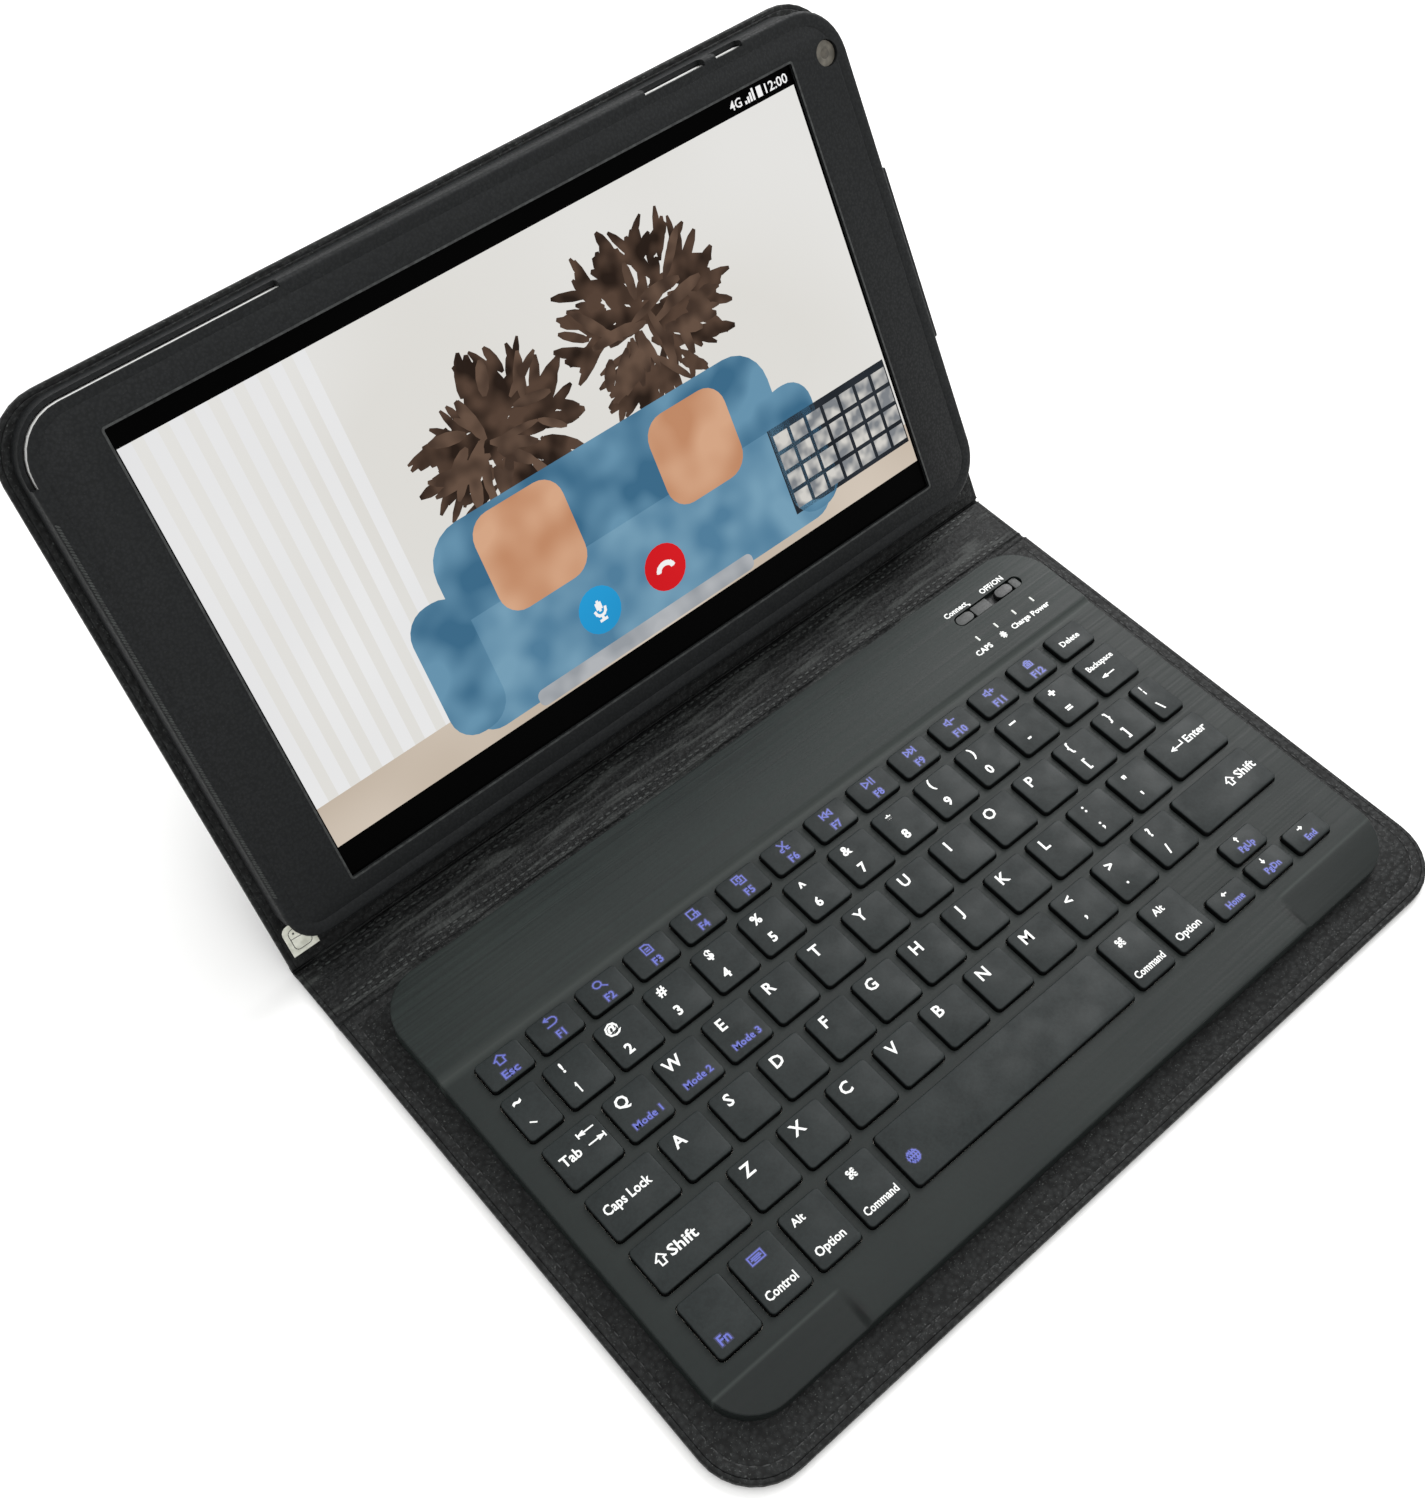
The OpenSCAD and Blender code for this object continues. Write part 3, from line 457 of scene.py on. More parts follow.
def cut(bm, tool):
    """Takes one closed mesh away from another. Both are freed, and the rest is returned."""
    made = []
    for part in (bm, tool):
        mesh = bpy.data.meshes.new("cut")
        part.to_mesh(mesh)
        part.free()
        made.append(bpy.data.objects.new("cut", mesh))
        bpy.context.scene.collection.objects.link(made[-1])
    body, cutter = made
    boolean = body.modifiers.new("cut", "BOOLEAN")
    boolean.operation = "DIFFERENCE"
    boolean.solver = "EXACT"
    boolean.object = cutter
    rest = bmesh.new()
    rest.from_object(body, bpy.context.evaluated_depsgraph_get())
    for obj in made:
        bpy.data.meshes.remove(obj.data)
    bmesh.ops.remove_doubles(rest, verts=rest.verts, dist=0.001 * MM)
    return rest


def piece(name, bm, body, finish, replaces=(), turn=IN_PLACE, sharp=35, point_out=True):
    """Makes a finished piece of a mesh, turned into place, that rides on a body."""
    if point_out:
        bmesh.ops.recalc_face_normals(bm, faces=bm.faces)
    bm.transform(turn)
    mesh = bpy.data.meshes.new(name)
    bm.to_mesh(mesh)
    bm.free()
    mesh.materials.append(finish)
    mesh.shade_smooth()
    mesh.set_sharp_from_angle(angle=math.radians(sharp))
    obj = bpy.data.objects.new(name, mesh)
    bpy.context.scene.collection.objects.link(obj)
    if body:
        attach(obj, body)
    if replaces:
        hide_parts(*replaces)
    return obj


def outline(box, radius, square_back=False, square_front=False):
    """Points along a rounded rectangle, anticlockwise from its lower left corner."""
    low, high = box
    middle = (low + high) / 2
    points = []
    for x, y, start in ((low.x, low.y, 180), (high.x, low.y, 270),
                        (high.x, high.y, 0), (low.x, high.y, 90)):
        back = y > middle.y
        bend = 0.0 if (square_back if back else square_front) else radius
        centre = Vector((x + math.copysign(bend, middle.x - x),
                         y + math.copysign(bend, middle.y - y)))
        for step in range(9):
            angle = math.radians(start + 90 * step / 8)
            points.append(centre + bend * Vector((math.cos(angle), math.sin(angle))))
    return points


def spaced(points, pitch, closed=True):
    """Places and headings a pitch apart along a line of points."""
    ends = points[1:] + points[:1] if closed else points[1:]
    carried = pitch / 2
    for start, end in zip(points, ends):
        run = end - start
        while carried < run.length:
            yield start + run.normalized() * carried, math.atan2(run.y, run.x)
            carried += pitch
        carried -= run.length


def stitching(points, z, pitch=3.2 * MM, size=(2.3 * MM, 0.5 * MM, 0.34 * MM), closed=True,
              slant=0):
    """Row of thread stitches, each a small low-sided bead on its line, or at a slant to it."""
    bm = bmesh.new()
    for place, heading in spaced(points, pitch, closed):
        turn = Matrix.Rotation(heading + math.radians(slant), 4, "Z")
        lie = Matrix.Translation((*place.xy, z)) @ turn
        bmesh.ops.create_icosphere(bm, subdivisions=1, radius=0.5,
                                   matrix=lie @ Matrix.Diagonal((*size, 1)))
    return bm


def inset_box(box, by):
    """A box drawn in by an amount on its four sides."""
    low, high = box
    inwards = Vector((by, by, 0))
    return low + inwards, high - inwards


# ---------------------------------------------------------------- cover

COVER_R = 17 * MM
RIM = 1.35 * MM
SEAM = 3.4 * MM
SLACK = 0.06 * MM
LEG_R = 6 * MM
LEG_CLEARANCE = 0.4 * MM


def covered_board(part, body, finish, free_side, turn=IN_PLACE, pocket=None):
    """Outer skin turned up round a board, its lining, and the rows of stitches through both.

    free_side is -1 or 1 for the side in y that ends in round corners, and 0 for a strip that
    has a crease on both sides. A pocket is cut through the skin."""
    skin, board, lining = (span(f"{part}_{layer}", turn) for layer in ("skin", "board", "lining"))
    middle = (skin[0].y + skin[1].y) / 2

    def at_free_side(point):
        return (point.y - middle) * free_side > 0

    def not_at_crease(point):
        crease_edges = (skin[0].y, skin[1].y)
        at_crease = any(abs(point.y - y) < 0.01 * MM for y in crease_edges)
        return not at_crease or at_free_side(point)

    low, high = skin
    top = lining[1].z - 0.15 * MM
    outer = slab((low, Vector((*high.xy, top))), COVER_R if free_side else 0, 0.5 * MM, 0.6 * MM,
                 at_free_side, not_at_crease)
    if free_side:
        groove(outer, SEAM, up=-1)
    trim = RIM if free_side else 0
    inner_low = Vector((low.x + RIM, low.y + (trim if free_side < 0 else 0), lining[0].z))
    inner_high = Vector((high.x - RIM, high.y - (trim if free_side > 0 else 0), lining[1].z))
    inner_r = COVER_R - RIM if free_side else 0
    for box in (board, (inner_low, inner_high)):
        outer = cut(outer, slab(grown(box, SLACK, 3 * MM), inner_r, corners=at_free_side))
    if pocket:
        outer = cut(outer, pocket)
    piece(f"{part}_cover", outer, body, finish, [f"{part}_skin"], turn)

    inside = slab((inner_low, inner_high), inner_r, 0.35 * MM, 0, at_free_side, not_at_crease)
    if free_side:
        groove(inside, SEAM - RIM)
    piece(f"{part}_lining_sheet", inside, body, finish, [f"{part}_lining"], turn)
    if free_side:
        seam_box = inset_box(skin, SEAM + 0.5 * MM)
        path = outline(seam_box, COVER_R - SEAM, free_side < 0, free_side > 0)
        rows = [stitching(path, lining[1].z - 0.14 * MM), stitching(path, 0.16 * MM)]
        piece(f"{part}_stitches", joined(rows), body, THREAD, turn=turn)


def valley(start, end, half_width, steps=10, dip=0.95 * MM):
    """Strip between two panels, from start to end in y, sagging between their upper faces."""
    bm = block(Vector((-half_width, start.y, 0)), Vector((half_width, end.y, start.z)))
    for step in range(1, steps):
        y = start.y + (end.y - start.y) * step / steps
        geom = bm.verts[:] + bm.edges[:] + bm.faces[:]
        bmesh.ops.bisect_plane(bm, geom=geom, plane_co=(0, y, 0), plane_no=(0, 1, 0))
    for vertex in bm.verts:
        share = (vertex.co.y - start.y) / (end.y - start.y)
        if vertex.co.z > 0.5 * start.z:
            sag = dip * math.sin(math.pi * share) ** 0.8 if 0 < share < 1 else 0
            vertex.co.z = start.z + (end.z - start.z) * share - sag
    return bm


def smooth_share(value, start, end):
    """Share from 0 to 1 between two values, with a soft start and end."""
    share = min(1.0, max(0.0, (value - start) / (end - start)))
    return share * share * (3 - 2 * share)


def bent(bm, start, end, pivot, degrees):
    """Bends a flat strip about the line along X through a pivot, more from start to end in y."""
    for vertex in bm.verts:
        turn = turned_up(pivot, degrees * smooth_share(vertex.co.y, start, end))
        vertex.co = turn @ vertex.co
    return bm


def creases(finish):
    """The two strips that the cover folds along, each bending between its neighbours."""
    half = span("lower_skin")[1].x
    panel_top, spine_top = span("lower_lining")[1].z, span("spine_lining")[1].z
    front = span("front_crease_strip")
    spine_end = span("spine_skin")[1].y
    lid_start = span("lid_skin", LID)[0].y
    strip = valley(Vector((0, front[0].y, panel_top)), Vector((0, front[1].y, spine_top)), half)
    made = piece("front_crease", strip, None, finish, ["front_crease_strip"])
    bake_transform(made)
    strip = valley(Vector((0, spine_end, spine_top)), Vector((0, lid_start, panel_top)), half)
    strip = bent(strip, spine_end, lid_start, REAR_CREASE, -JOINTS["lid_fold"]["range_deg"][0])
    made = piece("rear_crease", strip, None, finish, ["rear_crease_strip"])
    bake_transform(made)


def spine_seams(finish):
    """Double seam along each side of the spine. The real leather puckers between its rows; only the
    stitches are drawn.
    """
    low, high = span("spine_lining")
    inset = 5 * MM
    for name, y in (("front", low.y + 0.8 * MM), ("rear", high.y - 2.8 * MM)):
        rows = []
        for line in (y, y + 2.0 * MM):
            ends = [Vector((low.x + inset, line, 0)), Vector((high.x - inset, line, 0))]
            rows.append(stitching(ends, high.z + 0.05 * MM, 2.6 * MM,
                                  (2.0 * MM, 0.7 * MM, 0.5 * MM), closed=False))
        piece(f"spine_{name}_stitches", joined(rows), "spine", finish)


def stand_leg(finish):
    """Padded leg sewn round its edge, and the strip of skin that hinges it to the lid."""
    low, _ = span("stand_skin", LEG)
    _, high = span("stand_lining", LEG)
    leg = slab((low, high), LEG_R, 0.5 * MM, 0.6 * MM)
    groove(leg, SEAM, up=-1)
    groove(leg, SEAM)
    piece("stand_leg_cover", leg, "stand_leg", finish,
          ["stand_skin", "stand_board", "stand_lining"], LEG)
    path = outline(inset_box((low, high), SEAM + 0.5 * MM), LEG_R - SEAM)
    rows = [stitching(path, 0.16 * MM), stitching(path, high.z - 0.16 * MM)]
    piece("stand_leg_stitches", joined(rows), "stand_leg", THREAD, turn=LEG)

    reach = 7 * MM
    half = (high.x - low.x) / 2 - 2 * MM
    start, end = LEG_PIVOT.y - reach, LEG_PIVOT.y + reach
    strip = slab((Vector((-half, start, -0.25 * MM)), Vector((half, end, 0.2 * MM))), 1.5 * MM,
                 bottom=0.15 * MM)
    for step in range(1, 16):
        geom = strip.verts[:] + strip.edges[:] + strip.faces[:]
        y = start + (end - start) * step / 16
        bmesh.ops.bisect_plane(strip, geom=geom, plane_co=(0, y, 0), plane_no=(0, 1, 0))
    opening = -JOINTS["stand_fold"]["range_deg"][0]
    bend_start, bend_end = LEG_PIVOT.y - 2.5 * MM, LEG_PIVOT.y + 2.5 * MM
    for vertex in strip.verts:
        share = 1 - smooth_share(vertex.co.y, bend_start, bend_end)
        vertex.co = turned_up(LEG_PIVOT, opening * share) @ vertex.co
    hinge = piece("stand_hinge_strip", strip, None, finish, turn=LID)
    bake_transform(hinge)


# ---------------------------------------------------------------- keyboard

KEY_PROUD = 1.6 * MM
CAP_R = 1.3 * MM
CAP_WALL = 0.9 * MM
CAP_TOP = 1.0 * MM
CAP_CLEARANCE = 0.35 * MM
DECK_R = 14 * MM
DECK_T = 1.2 * MM
DECK_WALL = 1.4 * MM
CAVITY_FRONT = 9 * MM
BAND_DEPTH = 32.5 * MM
BAND_RAMP = 3 * MM
FRONT_SLOPE = (40.5 * MM, 11 * MM, 1.4 * MM)
SLOT_L = 28 * MM
SLOT_W = 4.4 * MM
BOSS_R = 2 * MM
SWITCH_X = span("keyboard_top_case")[1].x - 24 * MM

KEY_NODES = [name for name in frame["nodes"]
             if name.endswith(("_key", "_keys", "space_bar")) and not name.startswith("tablet")]
CAPS = {node: solids(node) for node in KEY_NODES}


def key_cap(box):
    """Cap with a softened upper edge, hollow underneath."""
    low, high = box
    bm = slab(box, CAP_R, top=0.35 * MM, segments=5)
    under = flat_face(bm, up=-1)
    bmesh.ops.inset_region(bm, faces=[under], thickness=CAP_WALL, use_even_offset=True)
    bmesh.ops.translate(bm, verts=under.verts, vec=(0, 0, 0.05 * MM))
    roof = bmesh.ops.extrude_face_region(bm, geom=[under])
    raised = [item for item in roof["geom"] if isinstance(item, bmesh.types.BMVert)]
    bmesh.ops.translate(bm, verts=raised, vec=(0, 0, high.z - CAP_TOP - low.z - 0.05 * MM))
    bmesh.ops.delete(bm, geom=[under], context="FACES_ONLY")
    return bm


def housing_shape():
    """Outside of the housing: round slab, rear band up a soft ramp, sloping front corners."""
    low, high = span("keyboard_top_case")
    deck_z = span("space_bar")[1].z - KEY_PROUD
    ramp = high.y - BAND_DEPTH
    slope_l, slope_d, slope_drop = FRONT_SLOPE
    bm = slab((low, Vector((*high.xy, deck_z))), DECK_R, segments=12)
    steps_y = [ramp + BAND_RAMP * i / 6 for i in range(7)]
    steps_y += [low.y + slope_d * i / 5 for i in range(1, 6)]
    blend = 1.3 * MM
    steps_x = [side * (high.x - slope_l + blend * i / 4) for side in (-1, 1) for i in range(-4, 5)]
    for place, normal in ([((0, y, 0), (0, 1, 0)) for y in steps_y]
                          + [((x, 0, 0), (1, 0, 0)) for x in steps_x]):
        geom = bm.verts[:] + bm.edges[:] + bm.faces[:]
        bmesh.ops.bisect_plane(bm, geom=geom, plane_co=place, plane_no=normal)
    for vertex in bm.verts:
        if vertex.co.z < deck_z - 0.1 * MM:
            continue
        x, y, _ = vertex.co
        rise = (high.z - deck_z) * smooth_share(y, ramp, ramp + BAND_RAMP)
        forward = max(0.0, (low.y + slope_d - y) / slope_d)
        outward = smooth_share(abs(x), high.x - slope_l - blend, high.x - slope_l + blend)
        vertex.co.z += rise - slope_drop * forward * outward
    bm.normal_update()
    rim = [edge for edge in bm.edges if len(edge.link_faces) == 2
           and sorted(face.normal.z > 0.5 for face in edge.link_faces) == [False, True]
           and min(vertex.co.z for vertex in edge.verts) > deck_z - 2 * MM]
    bevel(bm, rim, 0.5 * MM, 3)
    bmesh.ops.triangulate(bm, faces=[face for face in bm.faces if len(face.verts) > 4])
    return bm


def housing_top(finish):
    """Top case: a shell with a well for every cap, the switch slot and the lamp slits."""
    low, high = span("keyboard_top_case")
    under = high.z - 0.8 * MM - DECK_T
    slot_y = (span("connect_button")[0].y + span("connect_button")[1].y) / 2
    cavity_low = low + Vector((DECK_WALL, CAVITY_FRONT, -1 * MM))
    cavity_high = Vector((high.x - DECK_WALL, high.y - DECK_WALL, under))
    cavity = slab((cavity_low, cavity_high), DECK_R - DECK_WALL)
    posts = [rod((box[0].x + box[1].x) / 2, (box[0].y + box[1].y) / 2, low.z - 2 * MM,
                 high.z, BOSS_R) for box in solids("case_screws") if box[0].y > 0]
    shell = cut(housing_shape(), cut(cavity, joined(posts)))
    openings = []
    for box in (box for boxes in CAPS.values() for box in boxes):
        opening = grown((Vector((*box[0].xy, under)), Vector((*box[1].xy, high.z))),
                        CAP_CLEARANCE, 1 * MM)
        opening[0].z = under - 1 * MM
        openings.append(slab(opening, CAP_R + CAP_CLEARANCE, segments=5))
    for box in solids("indicator_lenses"):
        openings.append(block(*grown(box, 0.02 * MM, 1 * MM)))
    half = Vector((SLOT_L / 2, SLOT_W / 2, 0))
    centre = Vector((SWITCH_X, slot_y, 0))
    slot_box = (centre - half + Vector((0, 0, under - 1 * MM)),
                centre + half + Vector((0, 0, high.z + 1 * MM)))
    openings.append(slab(slot_box, SLOT_W / 2 - 0.01 * MM))
    shell = cut(shell, joined(openings))
    socket = grown(span("charge_socket"), 0.2 * MM)
    socket[1].x += 3 * MM
    shell = cut(shell, block(*socket))
    piece("keyboard_housing", shell, "base", finish, ["keyboard_top_case"],
          sharp=30)


def keys(finish):
    """One piece of caps for each group of keys, on the body of that group."""
    for node, boxes in CAPS.items():
        caps = joined([key_cap(box) for box in boxes])
        piece(f"{node}_caps", caps, node, finish, [node])


def switches(knob_finish, button_finish, lens_finish):
    """Slide switch, connect button and the four lamp lenses of the rear band."""
    for name, node, body, finish in (
            ("power_slider", "power_switch_knob", "power_switch", knob_finish),
            ("connect_pad", "connect_button", "connect", button_finish)):
        low, high = span(node)
        radius = (high.y - low.y) / 2 - 0.01 * MM
        piece(name, slab((low, high), radius, top=0.5 * MM), body, finish,
              [node])
    knob, button = span("power_switch_knob"), span("connect_button")
    top = span("keyboard_top_case")[1].z
    travel = JOINTS["power_switch_slide"]["range_m"][1]
    half = SLOT_W / 2 - 0.25 * MM
    middle = (button[0].y + button[1].y) / 2
    beds = [slab((Vector((start, middle - half, top - 1.1 * MM)),
                  Vector((end, middle + half, top - 0.5 * MM))), 0.5 * MM, top=0.2 * MM)
            for start, end in ((button[1].x + 0.5 * MM, knob[0].x - travel - 0.5 * MM),
                               (knob[1].x + 0.5 * MM, SWITCH_X + SLOT_L / 2 - 0.6 * MM))]
    piece("switch_bed", joined(beds), "base", button_finish)
    lenses = [slab(box, 0.3 * MM, top=0.15 * MM, segments=3) for box in solids("indicator_lenses")]
    piece("lamp_lenses", joined(lenses), "base", lens_finish,
          ["indicator_lenses"])


# ---------------------------------------------------------------- printing

CAPITAL = 0.72
FILM = 0.015 * MM


def lettering(text, height, place, bold=0.03, width=None):
    """Text as a thin raised film, its middle at a place; height is that of a capital."""
    curve = bpy.data.curves.new("ink", "FONT")
    curve.body = text
    curve.size = height / CAPITAL
    curve.offset = bold * height
    curve.extrude = FILM
    curve.resolution_u = 2
    carrier = bpy.data.objects.new("ink", curve)
    mesh = bpy.data.meshes.new_from_object(carrier)
    bm = bmesh.new()
    bm.from_mesh(mesh)
    bpy.data.objects.remove(carrier)
    bpy.data.curves.remove(curve)
    bpy.data.meshes.remove(mesh)
    bmesh.ops.remove_doubles(bm, verts=bm.verts, dist=0.002 * MM)
    points = [vertex.co for vertex in bm.verts]
    low, high = Vector(map(min, *points)), Vector(map(max, *points))
    bmesh.ops.translate(bm, verts=bm.verts, vec=-(low + high) / 2)
    if width:
        bmesh.ops.scale(bm, vec=(width / (high.x - low.x), 1, 1), verts=bm.verts)
    bmesh.ops.translate(bm, verts=bm.verts, vec=place)
    return bm


def arc(x, y, radius, start=0, end=360, steps=12):
    """Points along an arc."""
    angles = [math.radians(start + (end - start) * i / steps) for i in range(steps + 1)]
    return [(x + radius * math.cos(angle), y + radius * math.sin(angle)) for angle in angles]


def frame_line(x, y, half_width, half_height):
    """Closed outline of an upright rectangle."""
    left, right, low, high = x - half_width, x + half_width, y - half_height, y + half_height
    return [(left, low), (right, low), (right, high), (left, high), (left, low)]


SPEAKER = [(-.5, .15), (-.3, .15), (-.05, .4), (-.05, -.4), (-.3, -.15), (-.5, -.15), (-.5, .15)]
ARROW = [[(-.5, 0), (.5, 0)], [(.15, .3), (.5, 0), (.15, -.3)]]
SIGNS = {
    "home": [[(-.5, .05), (0, .5), (.5, .05), (.28, .05), (.28, -.45), (-.28, -.45),
              (-.28, .05), (-.5, .05)]],
    "back": [[(-.45, -.4), (.15, -.4), *arc(.15, -.02, .38, -90, 90, 6), (-.35, .36)],
             [(-.15, .55), (-.4, .36), (-.15, .15)]],
    "search": [arc(-.12, .12, .34), [(.14, -.14), (.5, -.5)]],
    "page": [[(-.35, .5), (.1, .5), (.35, .25), (.35, -.5), (-.35, -.5), (-.35, .5)],
             [(-.15, .05), (.15, .05)], [(-.15, -.2), (.15, -.2)]],
    "select": [frame_line(-.08, .05, .34, .45), frame_line(.2, -.22, .22, .22)],
    "copy": [frame_line(-.14, .12, .3, .36), frame_line(.16, -.14, .3, .36)],
    "cut": [[(-.3, .5), (.2, -.2)], [(.3, .5), (-.2, -.2)], arc(.28, -.34, .15, steps=8),
            arc(-.28, -.34, .15, steps=8)],
    "previous": [[(-.5, .35), (-.5, -.35)], [(-.02, .35), (-.42, 0), (-.02, -.35), (-.02, .35)],
                 [(.45, .35), (.05, 0), (.45, -.35), (.45, .35)]],
    "play": [[(-.5, .38), (0, 0), (-.5, -.38), (-.5, .38)], [(.18, .38), (.18, -.38)],
             [(.45, .38), (.45, -.38)]],
    "quieter": [SPEAKER, [(.15, 0), (.5, 0)]],
    "louder": [SPEAKER, [(.12, 0), (.5, 0)], [(.31, .2), (.31, -.2)]],
    "lock": [frame_line(0, -.2, .34, .28), frame_line(0, -.2, .14, .1), arc(0, .1, .22, 0, 180, 6)],
    "keyboard": [frame_line(0, 0, .5, .42), [(-.3, .15), (.3, .15)], [(-.36, -.02), (.36, -.02)],
                 [(-.2, -.2), (.2, -.2)]],
    "globe": [arc(0, 0, .5), [(-.5, 0), (.5, 0)], [(0, .5), (0, -.5)],
              [(x * .5, y) for x, y in arc(0, 0, .5)], [(-.42, .26), (.42, .26)],
              [(-.42, -.26), (.42, -.26)]],
    "right": ARROW,
    "left": [[(-x, y) for x, y in line] for line in ARROW],
    "up": [[(y, x) for x, y in line] for line in ARROW],
    "down": [[(y, -x) for x, y in line] for line in ARROW],
    "to_right": ARROW + [[(.56, .4), (.56, -.4)]],
    "to_left": [[(-x, y) for x, y in line] for line in ARROW] + [[(-.56, .4), (-.56, -.4)]],
    "return": [[(.5, .5), (.5, -.1), (-.5, -.1)], [(-.2, .2), (-.5, -.1), (-.2, -.4)]],
    "shift": [[(-.5, 0), (0, .5), (.5, 0), (.22, 0), (.22, -.5), (-.22, -.5), (-.22, 0),
               (-.5, 0)]],
    "loops": [arc(x, y, .16, steps=8) for x in (-.3, .3) for y in (-.3, .3)]
    + [frame_line(0, 0, .17, .17)],
    "1": [[(-.22, .26), (.06, .5), (.06, -.5)]],
    "|": [[(0, .5), (0, .12)], [(0, -.12), (0, -.5)]],
    "`": [[(-.22, .16), (.22, -.16)]],
    "microphone": [[(x, .42 - abs(x)), (x, -.02 + abs(x))] for x in (-.1, 0, .1)]
    + [arc(0, 0, .28, 180, 360, 6), [(0, -.28), (0, -.5)], [(-.16, -.5), (.16, -.5)]],
    "receiver": [arc(0, -.42, .52 - .05 * row, 35, 145, 8) for row in range(3)]
    + [[(-.45 + .06 * row, -.2), (-.35 + .06 * row, -.02)] for row in range(3)]
    + [[(.45 - .06 * row, -.2), (.35 - .06 * row, -.02)] for row in range(3)],
}
SIGNS["next"] = [[(-x, y) for x, y in line] for line in SIGNS["previous"]]


def drawn(strokes, width, height, place, stroke):
    """Sign made of straight strokes between points of a unit square, as a thin raised film."""
    bm = bmesh.new()
    places = [[Vector((x * width, y * height, 0)) for x, y in points] for points in strokes]
    bars = [ends for points in places for ends in zip(points, points[1:])]
    for number, (start, end) in enumerate(bars):
        run = end - start
        middle = place + (start + end) / 2
        lie = Matrix.Translation(middle) @ Matrix.Rotation(math.atan2(run.y, run.x), 4, "Z")
        thickness = FILM * (2 + 0.15 * (number % 7))
        bar = Matrix.Diagonal((run.length + 0.8 * stroke, stroke, thickness, 1))
        bmesh.ops.create_cube(bm, size=1, matrix=lie @ bar)
    return bm


PRINTED = defaultdict(list)


def print_on(node, box, text, across, up, height_mm, ink="white", width_mm=None, bold=0.03):
    """Prints on a cap: across and up are shares of its top from the left and from the front."""
    low, high = box
    place = Vector((low.x + across * (high.x - low.x), low.y + up * (high.y - low.y), high.z))
    height = height_mm * MM
    width = width_mm and width_mm * MM
    for lift, colour, fatter in ((FILM, ink, 0), (0, "navy", 1)):
        if fatter and ink != "blue":
            continue
        spot = place + Vector((0, 0, lift))
        if text in SIGNS:
            stroke = (0.8 if fatter else 0.34 if ink == "blue" else 0.42) * MM
            film = drawn(SIGNS[text], width or height, height, spot, stroke)
        else:
            halo = width and width + 0.5 * MM * fatter
            film = lettering(text, height, spot, bold + 0.13 * fatter, halo)
        PRINTED[node, colour].append(film)


def print_letters():
    """One capital at the upper left of each letter key; three also carry a mode in blue."""
    rows = {"top_letter_keys": "QWERTYUIOP", "home_letter_keys": "ASDFGHJKL",
            "lower_letter_keys": "ZXCVBNM"}
    for node, letters in rows.items():
        for box, letter in zip(CAPS[node], letters):
            print_on(node, box, letter, 0.33, 0.76, 3.5)
    for number, box in enumerate(CAPS["top_letter_keys"][:3], 1):
        print_on("top_letter_keys", box, f"Mode {number}", 0.52, 0.24, 2.0, "blue", 9.0)


def print_pairs():
    """Two characters one above the other, as on the number and punctuation keys."""
    pairs = {"number_keys": (0, "~` !1 @2 #3 $4 %5 ^6 &7 *8 (9 )0 _- +="),
             "top_letter_keys": (10, "{[ }] |\\"), "home_letter_keys": (9, ":; \"'"),
             "lower_letter_keys": (7, "<, >. ?/")}
    for node, (first, characters) in pairs.items():
        for box, (above, below) in zip(CAPS[node][first:], characters.split()):
            small = above in "~-=" or below in "`-="
            print_on(node, box, above, 0.35, 0.8, 3.0, bold=0.07 if small else 0.045)
            width = 1.2 if below == "1" else None
            print_on(node, box, below, 0.35, 0.3, 3.0, width_mm=width, bold=0.045)


def print_functions():
    """Blue pictogram over a blue name on the small keys of the top row."""
    icons = ["back", "search", "page", "select", "copy", "cut", "previous", "play", "next",
             "quieter", "louder", "lock"]
    keys = [("escape_key", CAPS["escape_key"][0], "home", "Esc")]
    for number, (box, icon) in enumerate(zip(CAPS["function_keys"], icons), 1):
        keys.append(("function_keys", box, icon, f"F{number}"))
    for node, box, icon, label in keys:
        print_on(node, box, icon, 0.5, 0.72, 2.9, "blue", 3.5)
        print_on(node, box, label, 0.52, 0.25, 2.3, "blue", 5.0 if label == "Esc" else None)
    print_on("delete_key", CAPS["delete_key"][0], "Delete", 0.5, 0.5, 2.0)


